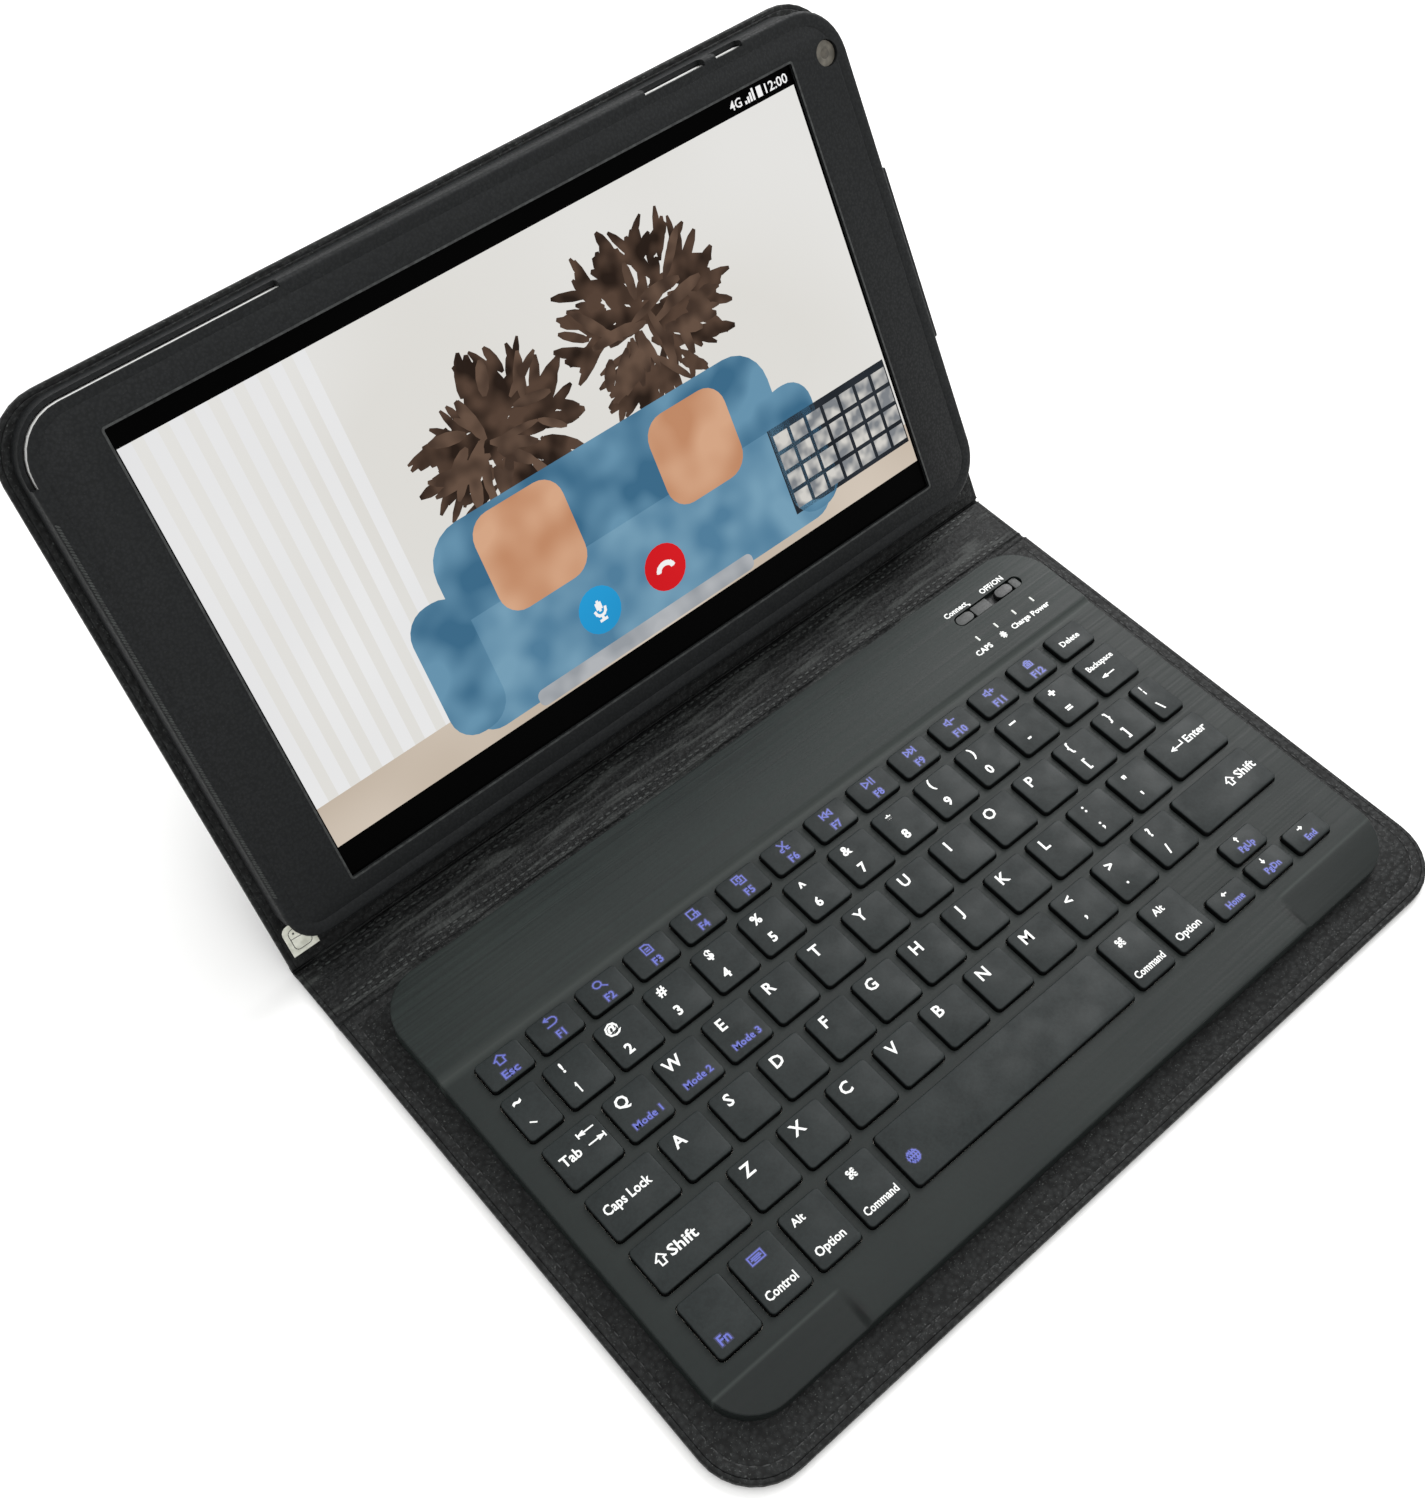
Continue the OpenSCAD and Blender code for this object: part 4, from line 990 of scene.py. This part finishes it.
def print_wide_keys():
    """Words and arrows of the keys at the ends of the rows and along the bottom."""
    marks = [
        ("backspace_key", 0, "Backspace", 0.5, 0.68, 2.0, "white", 10.5),
        ("backspace_key", 0, "left", 0.42, 0.36, 1.7, "white", 4.6),
        ("tab_key", 0, "Tab", 0.3, 0.55, 2.9, "white", 6.0),
        ("tab_key", 0, "to_left", 0.74, 0.78, 1.7, "white", 4.6),
        ("tab_key", 0, "to_right", 0.78, 0.52, 1.7, "white", 4.6),
        ("caps_lock_key", 0, "Caps Lock", 0.45, 0.55, 2.8, "white", 14.5),
        ("enter_key", 0, "return", 0.36, 0.6, 2.2, "white", 4.6),
        ("enter_key", 0, "Enter", 0.72, 0.6, 2.6, "white", 8.4),
        ("left_shift_key", 0, "shift", 0.18, 0.53, 3.2, "white", 3.2),
        ("left_shift_key", 0, "Shift", 0.42, 0.53, 3.0, "white", 8.6),
        ("right_shift_key", 0, "shift", 0.62, 0.55, 3.0, "white", 3.0),
        ("right_shift_key", 0, "Shift", 0.83, 0.55, 2.8, "white", 7.6),
        ("left_modifier_keys", 0, "Fn", 0.3, 0.22, 2.6, "blue", None),
        ("left_modifier_keys", 1, "keyboard", 0.48, 0.78, 2.6, "blue", 4.2),
        ("left_modifier_keys", 1, "Control", 0.47, 0.24, 2.5, "white", 9.6),
        ("left_modifier_keys", 2, "Alt", 0.3, 0.8, 2.2, "white", None),
        ("left_modifier_keys", 2, "Option", 0.46, 0.23, 2.5, "white", 9.2),
        ("left_modifier_keys", 3, "loops", 0.44, 0.8, 2.4, "white", None),
        ("left_modifier_keys", 3, "Command", 0.5, 0.23, 2.3, "white", 11.0),
        ("right_modifier_keys", 0, "loops", 0.44, 0.8, 2.4, "white", None),
        ("right_modifier_keys", 0, "Command", 0.5, 0.23, 2.3, "white", 11.0),
        ("right_modifier_keys", 1, "Alt", 0.36, 0.8, 2.2, "white", None),
        ("right_modifier_keys", 1, "Option", 0.48, 0.23, 2.4, "white", 9.0),
        ("space_bar", 0, "globe", 0.056, 0.4, 3.4, "blue", None),
    ]
    for node, index, *mark in marks:
        print_on(node, CAPS[node][index], *mark)
    low_arrows = sorted(CAPS["arrow_keys"], key=lambda box: (box[0].x, box[0].y))
    for box, arrow, label in zip(low_arrows, ("left", "down", "up", "right"),
                                 ("Home", "PgDn", "PgUp", "End")):
        print_on("arrow_keys", box, arrow, 0.45, 0.76, 1.5, "white", 1.5)
        print_on("arrow_keys", box, label, 0.52, 0.32, 1.9, "blue")


def print_band():
    """Names of the switch positions and of the lamps on the rear band."""
    top = span("keyboard_top_case")[1].z
    knob_y = (span("connect_button")[0].y + span("connect_button")[1].y) / 2
    lamps = solids("indicator_lenses")
    lamp_y = lamps[0][0].y
    lamp_x = [(box[0].x + box[1].x) / 2 for box in lamps]
    words = [("Connect", span("connect_button")[0].x + 3.2 * MM, knob_y + 4.0 * MM, 9.2),
             ("OFF/ON", SWITCH_X + 5.2 * MM, knob_y + 4.0 * MM, 9.6),
             ("CAPS", lamp_x[0] - 1.6 * MM, lamp_y - 3.2 * MM, 6.4),
             ("✳", lamp_x[1] - 0.9 * MM, lamp_y - 3.0 * MM, 2.2),
             ("Charge", lamp_x[2] - 1.2 * MM, lamp_y - 3.2 * MM, 7.4),
             ("Power", lamp_x[3] - 0.8 * MM, lamp_y - 3.2 * MM, 7.2)]
    films = [lettering(text, 1.9 * MM, Vector((x, y, top + FILM)), 0.04, width * MM)
             for text, x, y, width in words]
    films.append(rod(SWITCH_X - 5.5 * MM, knob_y + 2.8 * MM, top, top + 2 * FILM, 0.4 * MM, 12))
    piece("band_print", joined(films), "base", INKS["white"], sharp=60)


def printing():
    """All that is printed on the keys, one piece for each key body and ink."""
    print_letters()
    print_pairs()
    print_functions()
    print_wide_keys()
    print_band()
    for (node, ink), films in PRINTED.items():
        piece(f"{node}_{ink}_print", joined(films), node, INKS[ink], sharp=60)


# ---------------------------------------------------------------- holder

HOLDER_R = 15.5 * MM
CUT_CORNER_R = 9.5 * MM
HOLDER_WALL = 1.2 * MM
TABLET_CLEARANCE = 0.5 * MM
WINDOW_MARGINS = (19.55 * MM, 18.35 * MM, 8.1 * MM, 10.1 * MM)
CAMERA_HOLE_R = 3.7 * MM
SLOT_DEPTH = 2.4 * MM
CORNER_SLOT_L = 75.7 * MM
CORNER_SLOT_DROP = 1.5 * MM
SIDE_KEY_GAP = 1.0 * MM
TABLET_R = 13.8 * MM
RIM_W = 0.6 * MM


def window_box():
    """Screen window in the holder's face, set in from the tablet's sides."""
    low, high = span("tablet_shell", LID)
    left, right, bottom, top = WINDOW_MARGINS
    return (Vector((low.x + left, low.y + bottom, 0)), Vector((high.x - right, high.y - top, 0)))


def holder(finish):
    """Leatherette holder: face with the screen window, and walls with slots round the tablet."""
    face_low, face_high = span("holder_frame", LID)
    wall_low = span("holder_bottom_wall", LID)[0]
    box = (Vector((*face_low.xy, wall_low.z)), face_high)
    middle = (box[0] + box[1]) / 2

    def lower_left(point):
        return point.x < middle.x and point.y < middle.y

    bm = block(*box)
    round_corners(bm, CUT_CORNER_R, lower_left)
    round_corners(bm, HOLDER_R, lambda p: p.x > middle.x or p.y > middle.y, 10)
    roll_edges(bm, face_high.z, 1.1 * MM, segments=4)
    groove(bm, 2.6 * MM, 0.8 * MM, 0.15 * MM)
    tablet = span("tablet_shell", LID)
    pocket = grown((tablet[0], Vector((*tablet[1].xy, face_low.z))), TABLET_CLEARANCE, 0)
    pocket[0].z = wall_low.z - 1 * MM
    bm = cut(bm, slab(pocket, HOLDER_R - HOLDER_WALL))
    mouth_x = face_high.x - HOLDER_R
    far = Vector((face_high.x + 1 * MM, face_high.y + 1 * MM, face_low.z))
    bm = cut(bm, block(Vector((mouth_x, face_low.y - 1 * MM, pocket[0].z)), far))
    window = window_box()
    window[0].z, window[1].z = face_low.z - 1 * MM, face_high.z + 1 * MM
    bm = cut(bm, slab(window, 0.5 * MM, segments=2))
    camera = span("tablet_camera", LID)
    hole = ((camera[0].x + camera[1].x) / 2, (camera[0].y + camera[1].y) / 2)
    bm = cut(bm, rod(*hole, face_low.z - 1 * MM, face_high.z + 1 * MM, CAMERA_HOLE_R, 40))
    slot_low = face_low.z - SLOT_DEPTH
    keys = [span(f"tablet_{key}_key", LID) for key in ("volume", "power")]
    corner_y = face_high.y - HOLDER_R - CORNER_SLOT_DROP
    spans = [(low.x - SIDE_KEY_GAP, high.x + SIDE_KEY_GAP, middle.y) for low, high in keys]
    spans.append((face_low.x - 1 * MM, face_low.x + CORNER_SLOT_L, corner_y))
    slots = [block(Vector((start, low_y, slot_low)),
                   Vector((end, face_high.y + 1 * MM, face_high.z + 1 * MM)))
             for start, end, low_y in spans]
    outline_box = grown((Vector((*tablet[0].xy, 0)), Vector((*tablet[1].xy, 20 * MM))), 0.1 * MM)
    bm = cut(bm, cut(joined(slots), slab(outline_box, TABLET_R, segments=12)))
    piece("tablet_holder", bm, "lid", finish,
          ["holder_frame", "holder_top_wall", "holder_left_wall", "holder_bottom_wall"], LID)


def holder_trim():
    """Pale rim round the screen window as a painted highlight on its edge, and the ridge of thread
    down the left edge.
    """
    face_low, face_high = span("holder_frame", LID)
    window = window_box()
    window[0].z, window[1].z = face_low.z - 1 * MM, face_high.z + 1 * MM
    rim = cut(slab(inset_box(window, -RIM_W), 1.0 * MM),
              slab((window[0] - Vector((0, 0, 1 * MM)), window[1] + Vector((0, 0, 1 * MM))),
                   0.5 * MM, segments=2))
    for vertex in rim.verts:
        higher = vertex.co.z > face_high.z
        vertex.co.z = face_high.z + (0.06 * MM if higher else -0.3 * MM)
    piece("window_rim", rim, "lid", WINDOW_RIM_HIGHLIGHT, turn=LID)

    ridge_x = face_low.x + 0.85 * MM
    seam = [Vector((ridge_x, face_high.y - 26 * MM, 0)), Vector((ridge_x, face_low.y + 17 * MM, 0))]
    beads = stitching(seam, face_high.z - 0.12 * MM, 0.85 * MM,
                      (1.7 * MM, 0.6 * MM, 0.5 * MM), closed=False, slant=40)
    piece("holder_side_seam", beads, "lid", SEAM_THREAD, turn=LID)


def corner_plate(finish, seam_finish):
    """Pale stiffener that shows where the leatherette is cut back at the lower left corner."""
    face_low, _ = span("holder_frame", LID)
    low = Vector((face_low.x - 2.6 * MM, face_low.y - 0.6 * MM, face_low.z - 0.05 * MM))
    high = Vector((face_low.x + 5.4 * MM, face_low.y + 8.4 * MM, face_low.z + 0.5 * MM))

    def upper_left(point):
        return point.x < (low.x + high.x) / 2 and point.y > (low.y + high.y) / 2

    plate = slab((low, high), 2.2 * MM, 0.15 * MM, corners=upper_left, segments=4)
    piece("holder_corner_plate", plate, "lid", finish, turn=LID)
    margin = 1.35 * MM
    panel = inset_box((low, high), margin)
    across = [Vector((panel[0].x, panel[1].y - 2.6 * MM)), Vector((panel[1].x, panel[1].y - 3 * MM))]
    dots = [Vector((panel[0].x + x * MM, panel[1].y - 1.3 * MM)) for x in (1.4, 2.8)]
    size = (0.62 * MM, 0.3 * MM, 0.08 * MM)
    lines = [stitching(outline(panel, 1.4 * MM), high.z, 0.5 * MM, size),
             stitching(across, high.z, 0.5 * MM, size, closed=False)]
    lines += [rod(*dot, high.z - 0.02 * MM, high.z + 0.04 * MM, 0.3 * MM, 10) for dot in dots]
    piece("holder_corner_line", joined(lines), "lid", seam_finish, turn=LID)


def flap(finish):
    """Padded flap at the open side. The real one is pushed flat when the tablet is drawn out over
    it; this one rides the lid as drawn.
    """
    low, high = span("retaining_flap", LID)
    bm = slab((low, high), 0.45 * MM, 0.45 * MM, 0.3 * MM, segments=3)
    obj = piece("retaining_flap_pad", bm, "lid", finish,
                ["retaining_flap"], LID)
    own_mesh(obj)


# ---------------------------------------------------------------- tablet

SHELL_T = 1.2 * MM


def tablet(shell_finish, glass_finish):
    """White tray-shaped shell and the black glass that closes it."""
    low, high = span("tablet_shell", LID)
    shell = slab((low, high), TABLET_R, bottom=1.6 * MM)
    inside = (low + Vector((SHELL_T, SHELL_T, SHELL_T)),
              high + Vector((-SHELL_T, -SHELL_T, 1 * MM)))
    shell = cut(shell, slab(inside, TABLET_R - SHELL_T))
    for key in ("volume", "power"):
        shell = cut(shell, block(*grown(span(f"tablet_{key}_key", LID), 0.15 * MM, 0.4 * MM)))
    piece("tablet_back", shell, "tablet", shell_finish, ["tablet_shell"], LID)
    glass = slab(span("tablet_glass", LID), TABLET_R, top=0.25 * MM)
    piece("tablet_front_glass", glass, "tablet", glass_finish,
          ["tablet_glass"], LID)


def glass_place(x, y, layer):
    """Place in a layer over the glass, in millimetres from the window's lower left corner."""
    window = window_box()[0]
    z = span("tablet_glass", LID)[1].z + 0.012 * MM * layer
    return Vector((window.x + x * MM, window.y + y * MM, z))


def on_screen(low_x, low_y, high_x, high_y, layer, radius=0.0):
    """Flat lit shape on the glass."""
    low, high = glass_place(low_x, low_y, layer), glass_place(high_x, high_y, layer)
    high.z += 0.01 * MM
    return slab((low, high), radius * MM, segments=6)


def screen_disc(x, y, radius, layer):
    """Round button on the screen."""
    return on_screen(x - radius, y - radius, x + radius, y + radius, layer, radius - 0.01)


def screen_text(text, x, y, height, layer, width):
    """White lettering on the screen."""
    return lettering(text, height * MM, glass_place(x, y, layer), 0.02, width * MM)


def foliage(x, y, reach, count, layer):
    """Clump of narrow leaves that point outwards from the middle of a round bush."""
    bm = bmesh.new()
    for _ in range(count):
        angle, away = random.uniform(0, 2 * math.pi), reach * math.sqrt(random.random())
        middle = glass_place(x + away * math.cos(angle), y + 0.9 * away * math.sin(angle), layer)
        lie = Matrix.Translation(middle + Vector((0, 0, 0.005 * MM)))
        lie = lie @ Matrix.Rotation(angle + random.uniform(-0.7, 0.7), 4, "Z")
        leaf = Matrix.Diagonal((random.uniform(4.5, 8) * MM, random.uniform(1.1, 2) * MM, 1, 1))
        bmesh.ops.create_cone(bm, cap_ends=True, segments=10, radius1=1, radius2=1,
                              depth=0.01 * MM, matrix=lie @ leaf)
    return bm


def screen_sign(name, x, y, size, layer):
    """Stroke sign on the screen."""
    size_m = size * MM
    return drawn(SIGNS[name], size_m, size_m, glass_place(x, y, layer), 0.14 * size_m)


def call_screen():
    """Picture of an empty room with a sofa, the buttons of a call and a small second view."""
    random.seed(7)
    curtain = [on_screen(0.6 + 7 * fold, 9.4, 4.4 + 7 * fold, 128.2, 2) for fold in range(8)]
    books = [on_screen(171 + 6.6 * column, 18 + 6.3 * row, 176.4 + 6.6 * column, 23 + 6.3 * row, 9)
             for column in range(7) for row in range(4)]
    bars = [on_screen(199.8 + bar, 129.5, 200.5 + bar, 130.4 + 0.8 * bar, 4) for bar in range(4)]
    signs = [screen_sign("microphone", 98.1, 25.7, 6.2, 13),
             screen_sign("receiver", 122.2, 26.6, 6.4, 13),
             screen_text("4G", 196.6, 130.9, 2.6, 4, 4.2),
             screen_text("12:00", 211.6, 130.9, 2.7, 4, 8.2),
             on_screen(204.5, 129.5, 206.3, 132.5, 4)]
    shapes = {
        "dark": ([on_screen(0.1, 0.1, 217.5, 133.7, 0)], "#000000", "#010101", 90),
        "wall": ([on_screen(0.6, 9.4, 217.1, 128.2, 1)], "#efeeeb", "#e8e6e1", 90),
        "curtain": (curtain, "#f4f4f4", "#eeeeef", 60),
        "floor": ([on_screen(0.6, 9.4, 217.1, 22, 3)], "#dccfc0", "#c9baa9", 50),
        "bush": ([foliage(92, 84, 22, 130, 4), foliage(146, 92, 25, 150, 4)],
                 "#2c211b", "#5a463a", 7),
        "bush_light": ([foliage(92, 84, 20, 26, 5), foliage(146, 92, 22, 30, 5)],
                       "#6b5547", "#46362d", 7),
        "sofa": ([on_screen(58, 28, 176, 70, 6, 12), on_screen(44, 14, 62, 54, 8, 8),
                  on_screen(170, 14, 188, 54, 8, 8)], "#3f6f8f", "#6c9ab6", 14),
        "seat": ([on_screen(50, 12, 184, 44, 7, 8)], "#5584a3", "#7ba6bf", 14),
        "cushions": ([on_screen(72, 38, 102, 68, 9, 7), on_screen(132, 38, 160, 66, 9, 7)],
                     "#dfae8c", "#c9906c", 16),
        "rug": ([on_screen(70, 10, 150, 15, 8, 2)], "#b9bcc0", "#9da2a8", 9),
        "frame": ([on_screen(169.6, 16.6, 216.4, 44.2, 8)], "#20242a", "#2c3138", 20),
        "books": (books, "#dcd9d3", "#84888d", 4),
        "blue_button": ([screen_disc(98.1, 25.7, 7, 12)], "#29a3df", "#2699d3", 30),
        "red_button": ([screen_disc(122.2, 25.8, 7, 12)], "#e21f26", "#d81b22", 30),
        "signs": (signs + bars, "#ffffff", "#fbfbfb", 30),
    }
    for name, (parts, first, second, patch) in shapes.items():
        lit = glowing(f"screen_{name}", first, second, patch)
        piece(f"screen_{name}", joined(parts), "tablet", lit, turn=LID, sharp=60)


def camera_eye(ring_finish, lens_finish):
    """Front camera under the glass: a brown-grey disc, painted shade in place of the white bezel
    seen in the hole, with a shallow domed lens.
    """
    low, high = span("tablet_camera", LID)
    x, y = (low.x + high.x) / 2, (low.y + high.y) / 2
    top = span("tablet_glass", LID)[1].z
    ring = rod(x, y, top, top + 0.05 * MM, 3.5 * MM)
    piece("camera_ring", ring, "tablet", ring_finish, turn=LID)
    eye = bmesh.new()
    dome = Matrix.Translation((x, y, top)) @ Matrix.Diagonal((1, 1, 0.09, 1))
    bmesh.ops.create_uvsphere(eye, u_segments=24, v_segments=12, radius=1.6 * MM, matrix=dome)
    piece("camera_eye", eye, "tablet", lens_finish, turn=LID)


# ---------------------------------------------------------------- stage

LENS_MM = 43.89
CAMERA_PLACE = Vector((-202.9, -152.5, 442.7)) * MM
CAMERA_RIGHT = Vector((0.75449, -0.65631, -0.00226)).normalized()
CAMERA_BACK = Vector((-0.37870, -0.43817, 0.81523)).normalized()
# name, offset from the middle of the object, side of the square, watts
LIGHTS = (("window_light", (0.95, 0.45, 0.8), 0.8, 15),
          ("fill_light", (-0.5, -1.0, 1.3), 1.2, 5),
          ("top_light", (0.1, 0.1, 1.6), 1.4, 9))


def studio():
    """Plain pale floor, soft light from above and the right, and the camera."""
    low, high = cad_box
    floor = bmesh.new()
    bmesh.ops.create_grid(floor, x_segments=1, y_segments=1, size=3)
    bmesh.ops.translate(floor, verts=floor.verts, vec=(0, 0, -0.3 * MM))
    mesh = bpy.data.meshes.new("floor")
    floor.to_mesh(mesh)
    floor.free()
    paper, _, shader = material("white_paper")
    shader.inputs["Base Color"].default_value = linear("#f6f6f5")
    shader.inputs["Roughness"].default_value = 0.9
    mesh.materials.append(paper)
    ground = bpy.data.objects.new("floor", mesh)
    bpy.context.scene.collection.objects.link(ground)

    centre = (low + high) / 2
    for name, offset, size, power in LIGHTS:
        lamp = bpy.data.lights.new(name, "AREA")
        lamp.shape = "SQUARE"
        lamp.size = size
        lamp.energy = power
        light = bpy.data.objects.new(name, lamp)
        light.location = centre + Vector(offset)
        light.rotation_euler = (centre - light.location).to_track_quat("-Z", "Y").to_euler()
        bpy.context.scene.collection.objects.link(light)
    world = bpy.data.worlds.new("white_room")
    world.use_nodes = True
    world.node_tree.nodes["Background"].inputs["Color"].default_value = linear("#ffffff")
    world.node_tree.nodes["Background"].inputs["Strength"].default_value = 0.75
    bpy.context.scene.world = world
    bpy.context.scene.view_settings.view_transform = "Standard"

    lens = bpy.data.cameras.new("camera")
    lens.lens = LENS_MM
    lens.clip_start = 0.01
    camera = bpy.data.objects.new("camera", lens)
    camera.location = CAMERA_PLACE
    up = CAMERA_BACK.cross(CAMERA_RIGHT)
    camera.rotation_euler = Matrix((CAMERA_RIGHT, up, CAMERA_BACK)).transposed().to_euler()
    bpy.context.scene.collection.objects.link(camera)
    bpy.context.scene.camera = camera


# ---------------------------------------------------------------- finishes and assembly

# Embossed cover leather: painted shade in the valleys and a painted highlight on the rounded crests,
# with pale specks that are painted glints.
# The pebbles are drawn coarser than real ones, so that they show.
PEBBLED = leatherette("pebbled_pu_cover", "#090a0a", "#1e2020", "#565957", 1.4, 0.3)
# The same leather round the spine, pulled into fine wrinkles along the folds, with a painted
# highlight on their ridges.
CREASED = leatherette("creased_pu_spine", "#090a0a", "#1b1d1d", "#505351", 1.2, 0.35, 0.2, 0.32)
# Thin fine-grained leather of the holder: nearly even, faintly satin, with faint painted shade and
# highlight on its grain.
SMOOTH_LEATHER = leatherette("fine_pu_holder", "#0e1011", "#181a1b", "#2c2f2f", 0.8, 0.06, 0.04)
# Spun thread: dull and a little fuzzy, black in the cover's stitches and mottled grey in the seams.
THREAD = plain_finish("black_polyester_thread", "#101111", "#242626", 0.6, 1.5, 0.3, 0.03)
SEAM_THREAD = plain_finish("mottled_grey_polyester_thread", "#191b1a", "#323634", 0.6, 1.5, 0.3, 0.03)
# Cut edge of the leather round the window, painted paler as a highlight.
WINDOW_RIM_HIGHLIGHT = plain_finish("window_rim_painted_highlight", "#191b1b", "#343736", 0.5, 1.5, 0.3, 0.03)
# Moulded plastics: satin black, a yellowed pale grey with a soft mottle, and a clean glossy white.
DARK_ABS = plain_finish("black_abs", "#111213", "#191a1b", 0.45)
PALE_ABS = plain_finish("pale_grey_abs", "#b4b5a8", "#d3d4c8", 0.4, 2.5, 0.5)
WHITE_SHELL = plain_finish("white_polycarbonate", "#e9e9e6", "#f3f3f1", 0.3, 20)
# Inks: an opaque off-white, a muted violet blue, and the dark ground printed under the blue.
INKS = {"white": printed_ink("white_pad_ink", "#e6e7e5", "#b9bbb9"),
        "blue": printed_ink("blue_pad_ink", "#555eb4", "#414a9a"),
        "navy": printed_ink("navy_pad_ink", "#16184a", "#101236")}

PLAIN_PARTS = {
    # pressed waste paper, dyed through: dull, with a soft brown cast
    "lower_board spine_board lid_board": ("black_greyboard", "#1c1b1a", "#2b2927", 0.85),
    # closed-cell foam: chalky cream
    "adhesive_pads": ("acrylic_foam_tape", "#dcdad2", "#efede6", 0.8),
    # injection-moulded, spark-textured: even satin black
    "keyboard_bottom_case switch_carrier": ("black_abs_case", "#101112", "#1b1c1d", 0.5),
    # rolled sheet: soft grey reflections
    "key_backplate": ("rolled_aluminium", "#8f9498", "#a9adb0", 0.35),
    # cast film: cool, pale and smooth
    "key_membrane": ("polyester_membrane", "#c3ccd2", "#dfe6ea", 0.3),
    # moulded rubber: warm, milky and matt
    "key_dome_sheet": ("silicone_dome_sheet", "#d9d3c6", "#ebe6dc", 0.55),
    # moulded and unpainted: waxy off-white
    "key_scissor_links": ("acetal_scissor_links", "#e4e3df", "#f3f2ef", 0.4),
    # lacquer over copper tracks: two greens
    "circuit_board tablet_board": ("green_solder_mask", "#14452b", "#23673f", 0.35),
    # aluminium foil sealed in plastic: silver with soft dents
    "battery tablet_battery": ("laminated_battery_foil", "#a3a8ad", "#c3c7cb", 0.3),
    # plated: clean bright grey
    "charge_socket case_screws": ("nickel_plated_steel", "#9a9da0", "#b9bcbe", 0.3),
    # unlit display stack: blue-black and smooth
    "tablet_display": ("polarised_lcd_stack", "#0c0d10", "#1a1c22", 0.3),
    # anodised barrel: brown-grey
    "tablet_camera": ("camera_barrel", "#3a3733", "#57524b", 0.4),
    # moulded like the shell, a shade greyer with use
    "tablet_volume_key tablet_power_key": ("white_side_key", "#dcdcda", "#eaeae8", 0.35),
}
METALS = ("rolled_aluminium", "nickel_plated_steel", "laminated_battery_foil")


def finish_plain_parts():
    """Gives the hard parts that show as they are their own finishes."""
    for nodes, (name, dark, light, roughness) in PLAIN_PARTS.items():
        metallic = 1.0 if name in METALS else 0.0
        made = plain_finish(name, dark, light, roughness, metallic=metallic)
        for node in nodes.split():
            mesh = frame["nodes"][node].data
            mesh.materials.clear()
            mesh.materials.append(made)


studio()
leg_box = span("stand_skin", LEG)[0], span("stand_lining", LEG)[1]
pocket_box = grown((leg_box[0] - Vector((0, 0, 1 * MM)), leg_box[1]), LEG_CLEARANCE, 0.1 * MM)
leg_pocket = slab(pocket_box, LEG_R + LEG_CLEARANCE)
covered_board("lower", "base", PEBBLED, -1)
covered_board("spine", "spine", CREASED, 0)
covered_board("lid", "lid", PEBBLED, 1, LID, leg_pocket)
creases(CREASED)
spine_seams(SEAM_THREAD)
stand_leg(PEBBLED)
housing_top(brushed_deck())
keys(key_plastic())
switches(DARK_ABS, plain_finish("grey_abs_button", "#1a1d1c", "#232625", 0.5), lamp_lens())
printing()
holder(SMOOTH_LEATHER)
holder_trim()
corner_plate(PALE_ABS, DARK_ABS)
flap(SMOOTH_LEATHER)
tablet(WHITE_SHELL, tablet_glass())
call_screen()
# Brown-grey ring, satin and mottled, standing as painted shade for the white bezel in the hole,
# round a smoother smoked plastic lens.
camera_eye(plain_finish("brown_grey_disc", "#4d4a42", "#6f6a60", 0.4, 2.5),
           plain_finish("smoked_lens", "#3f3c36", "#575249", 0.2, 1.5))
finish_plain_parts()
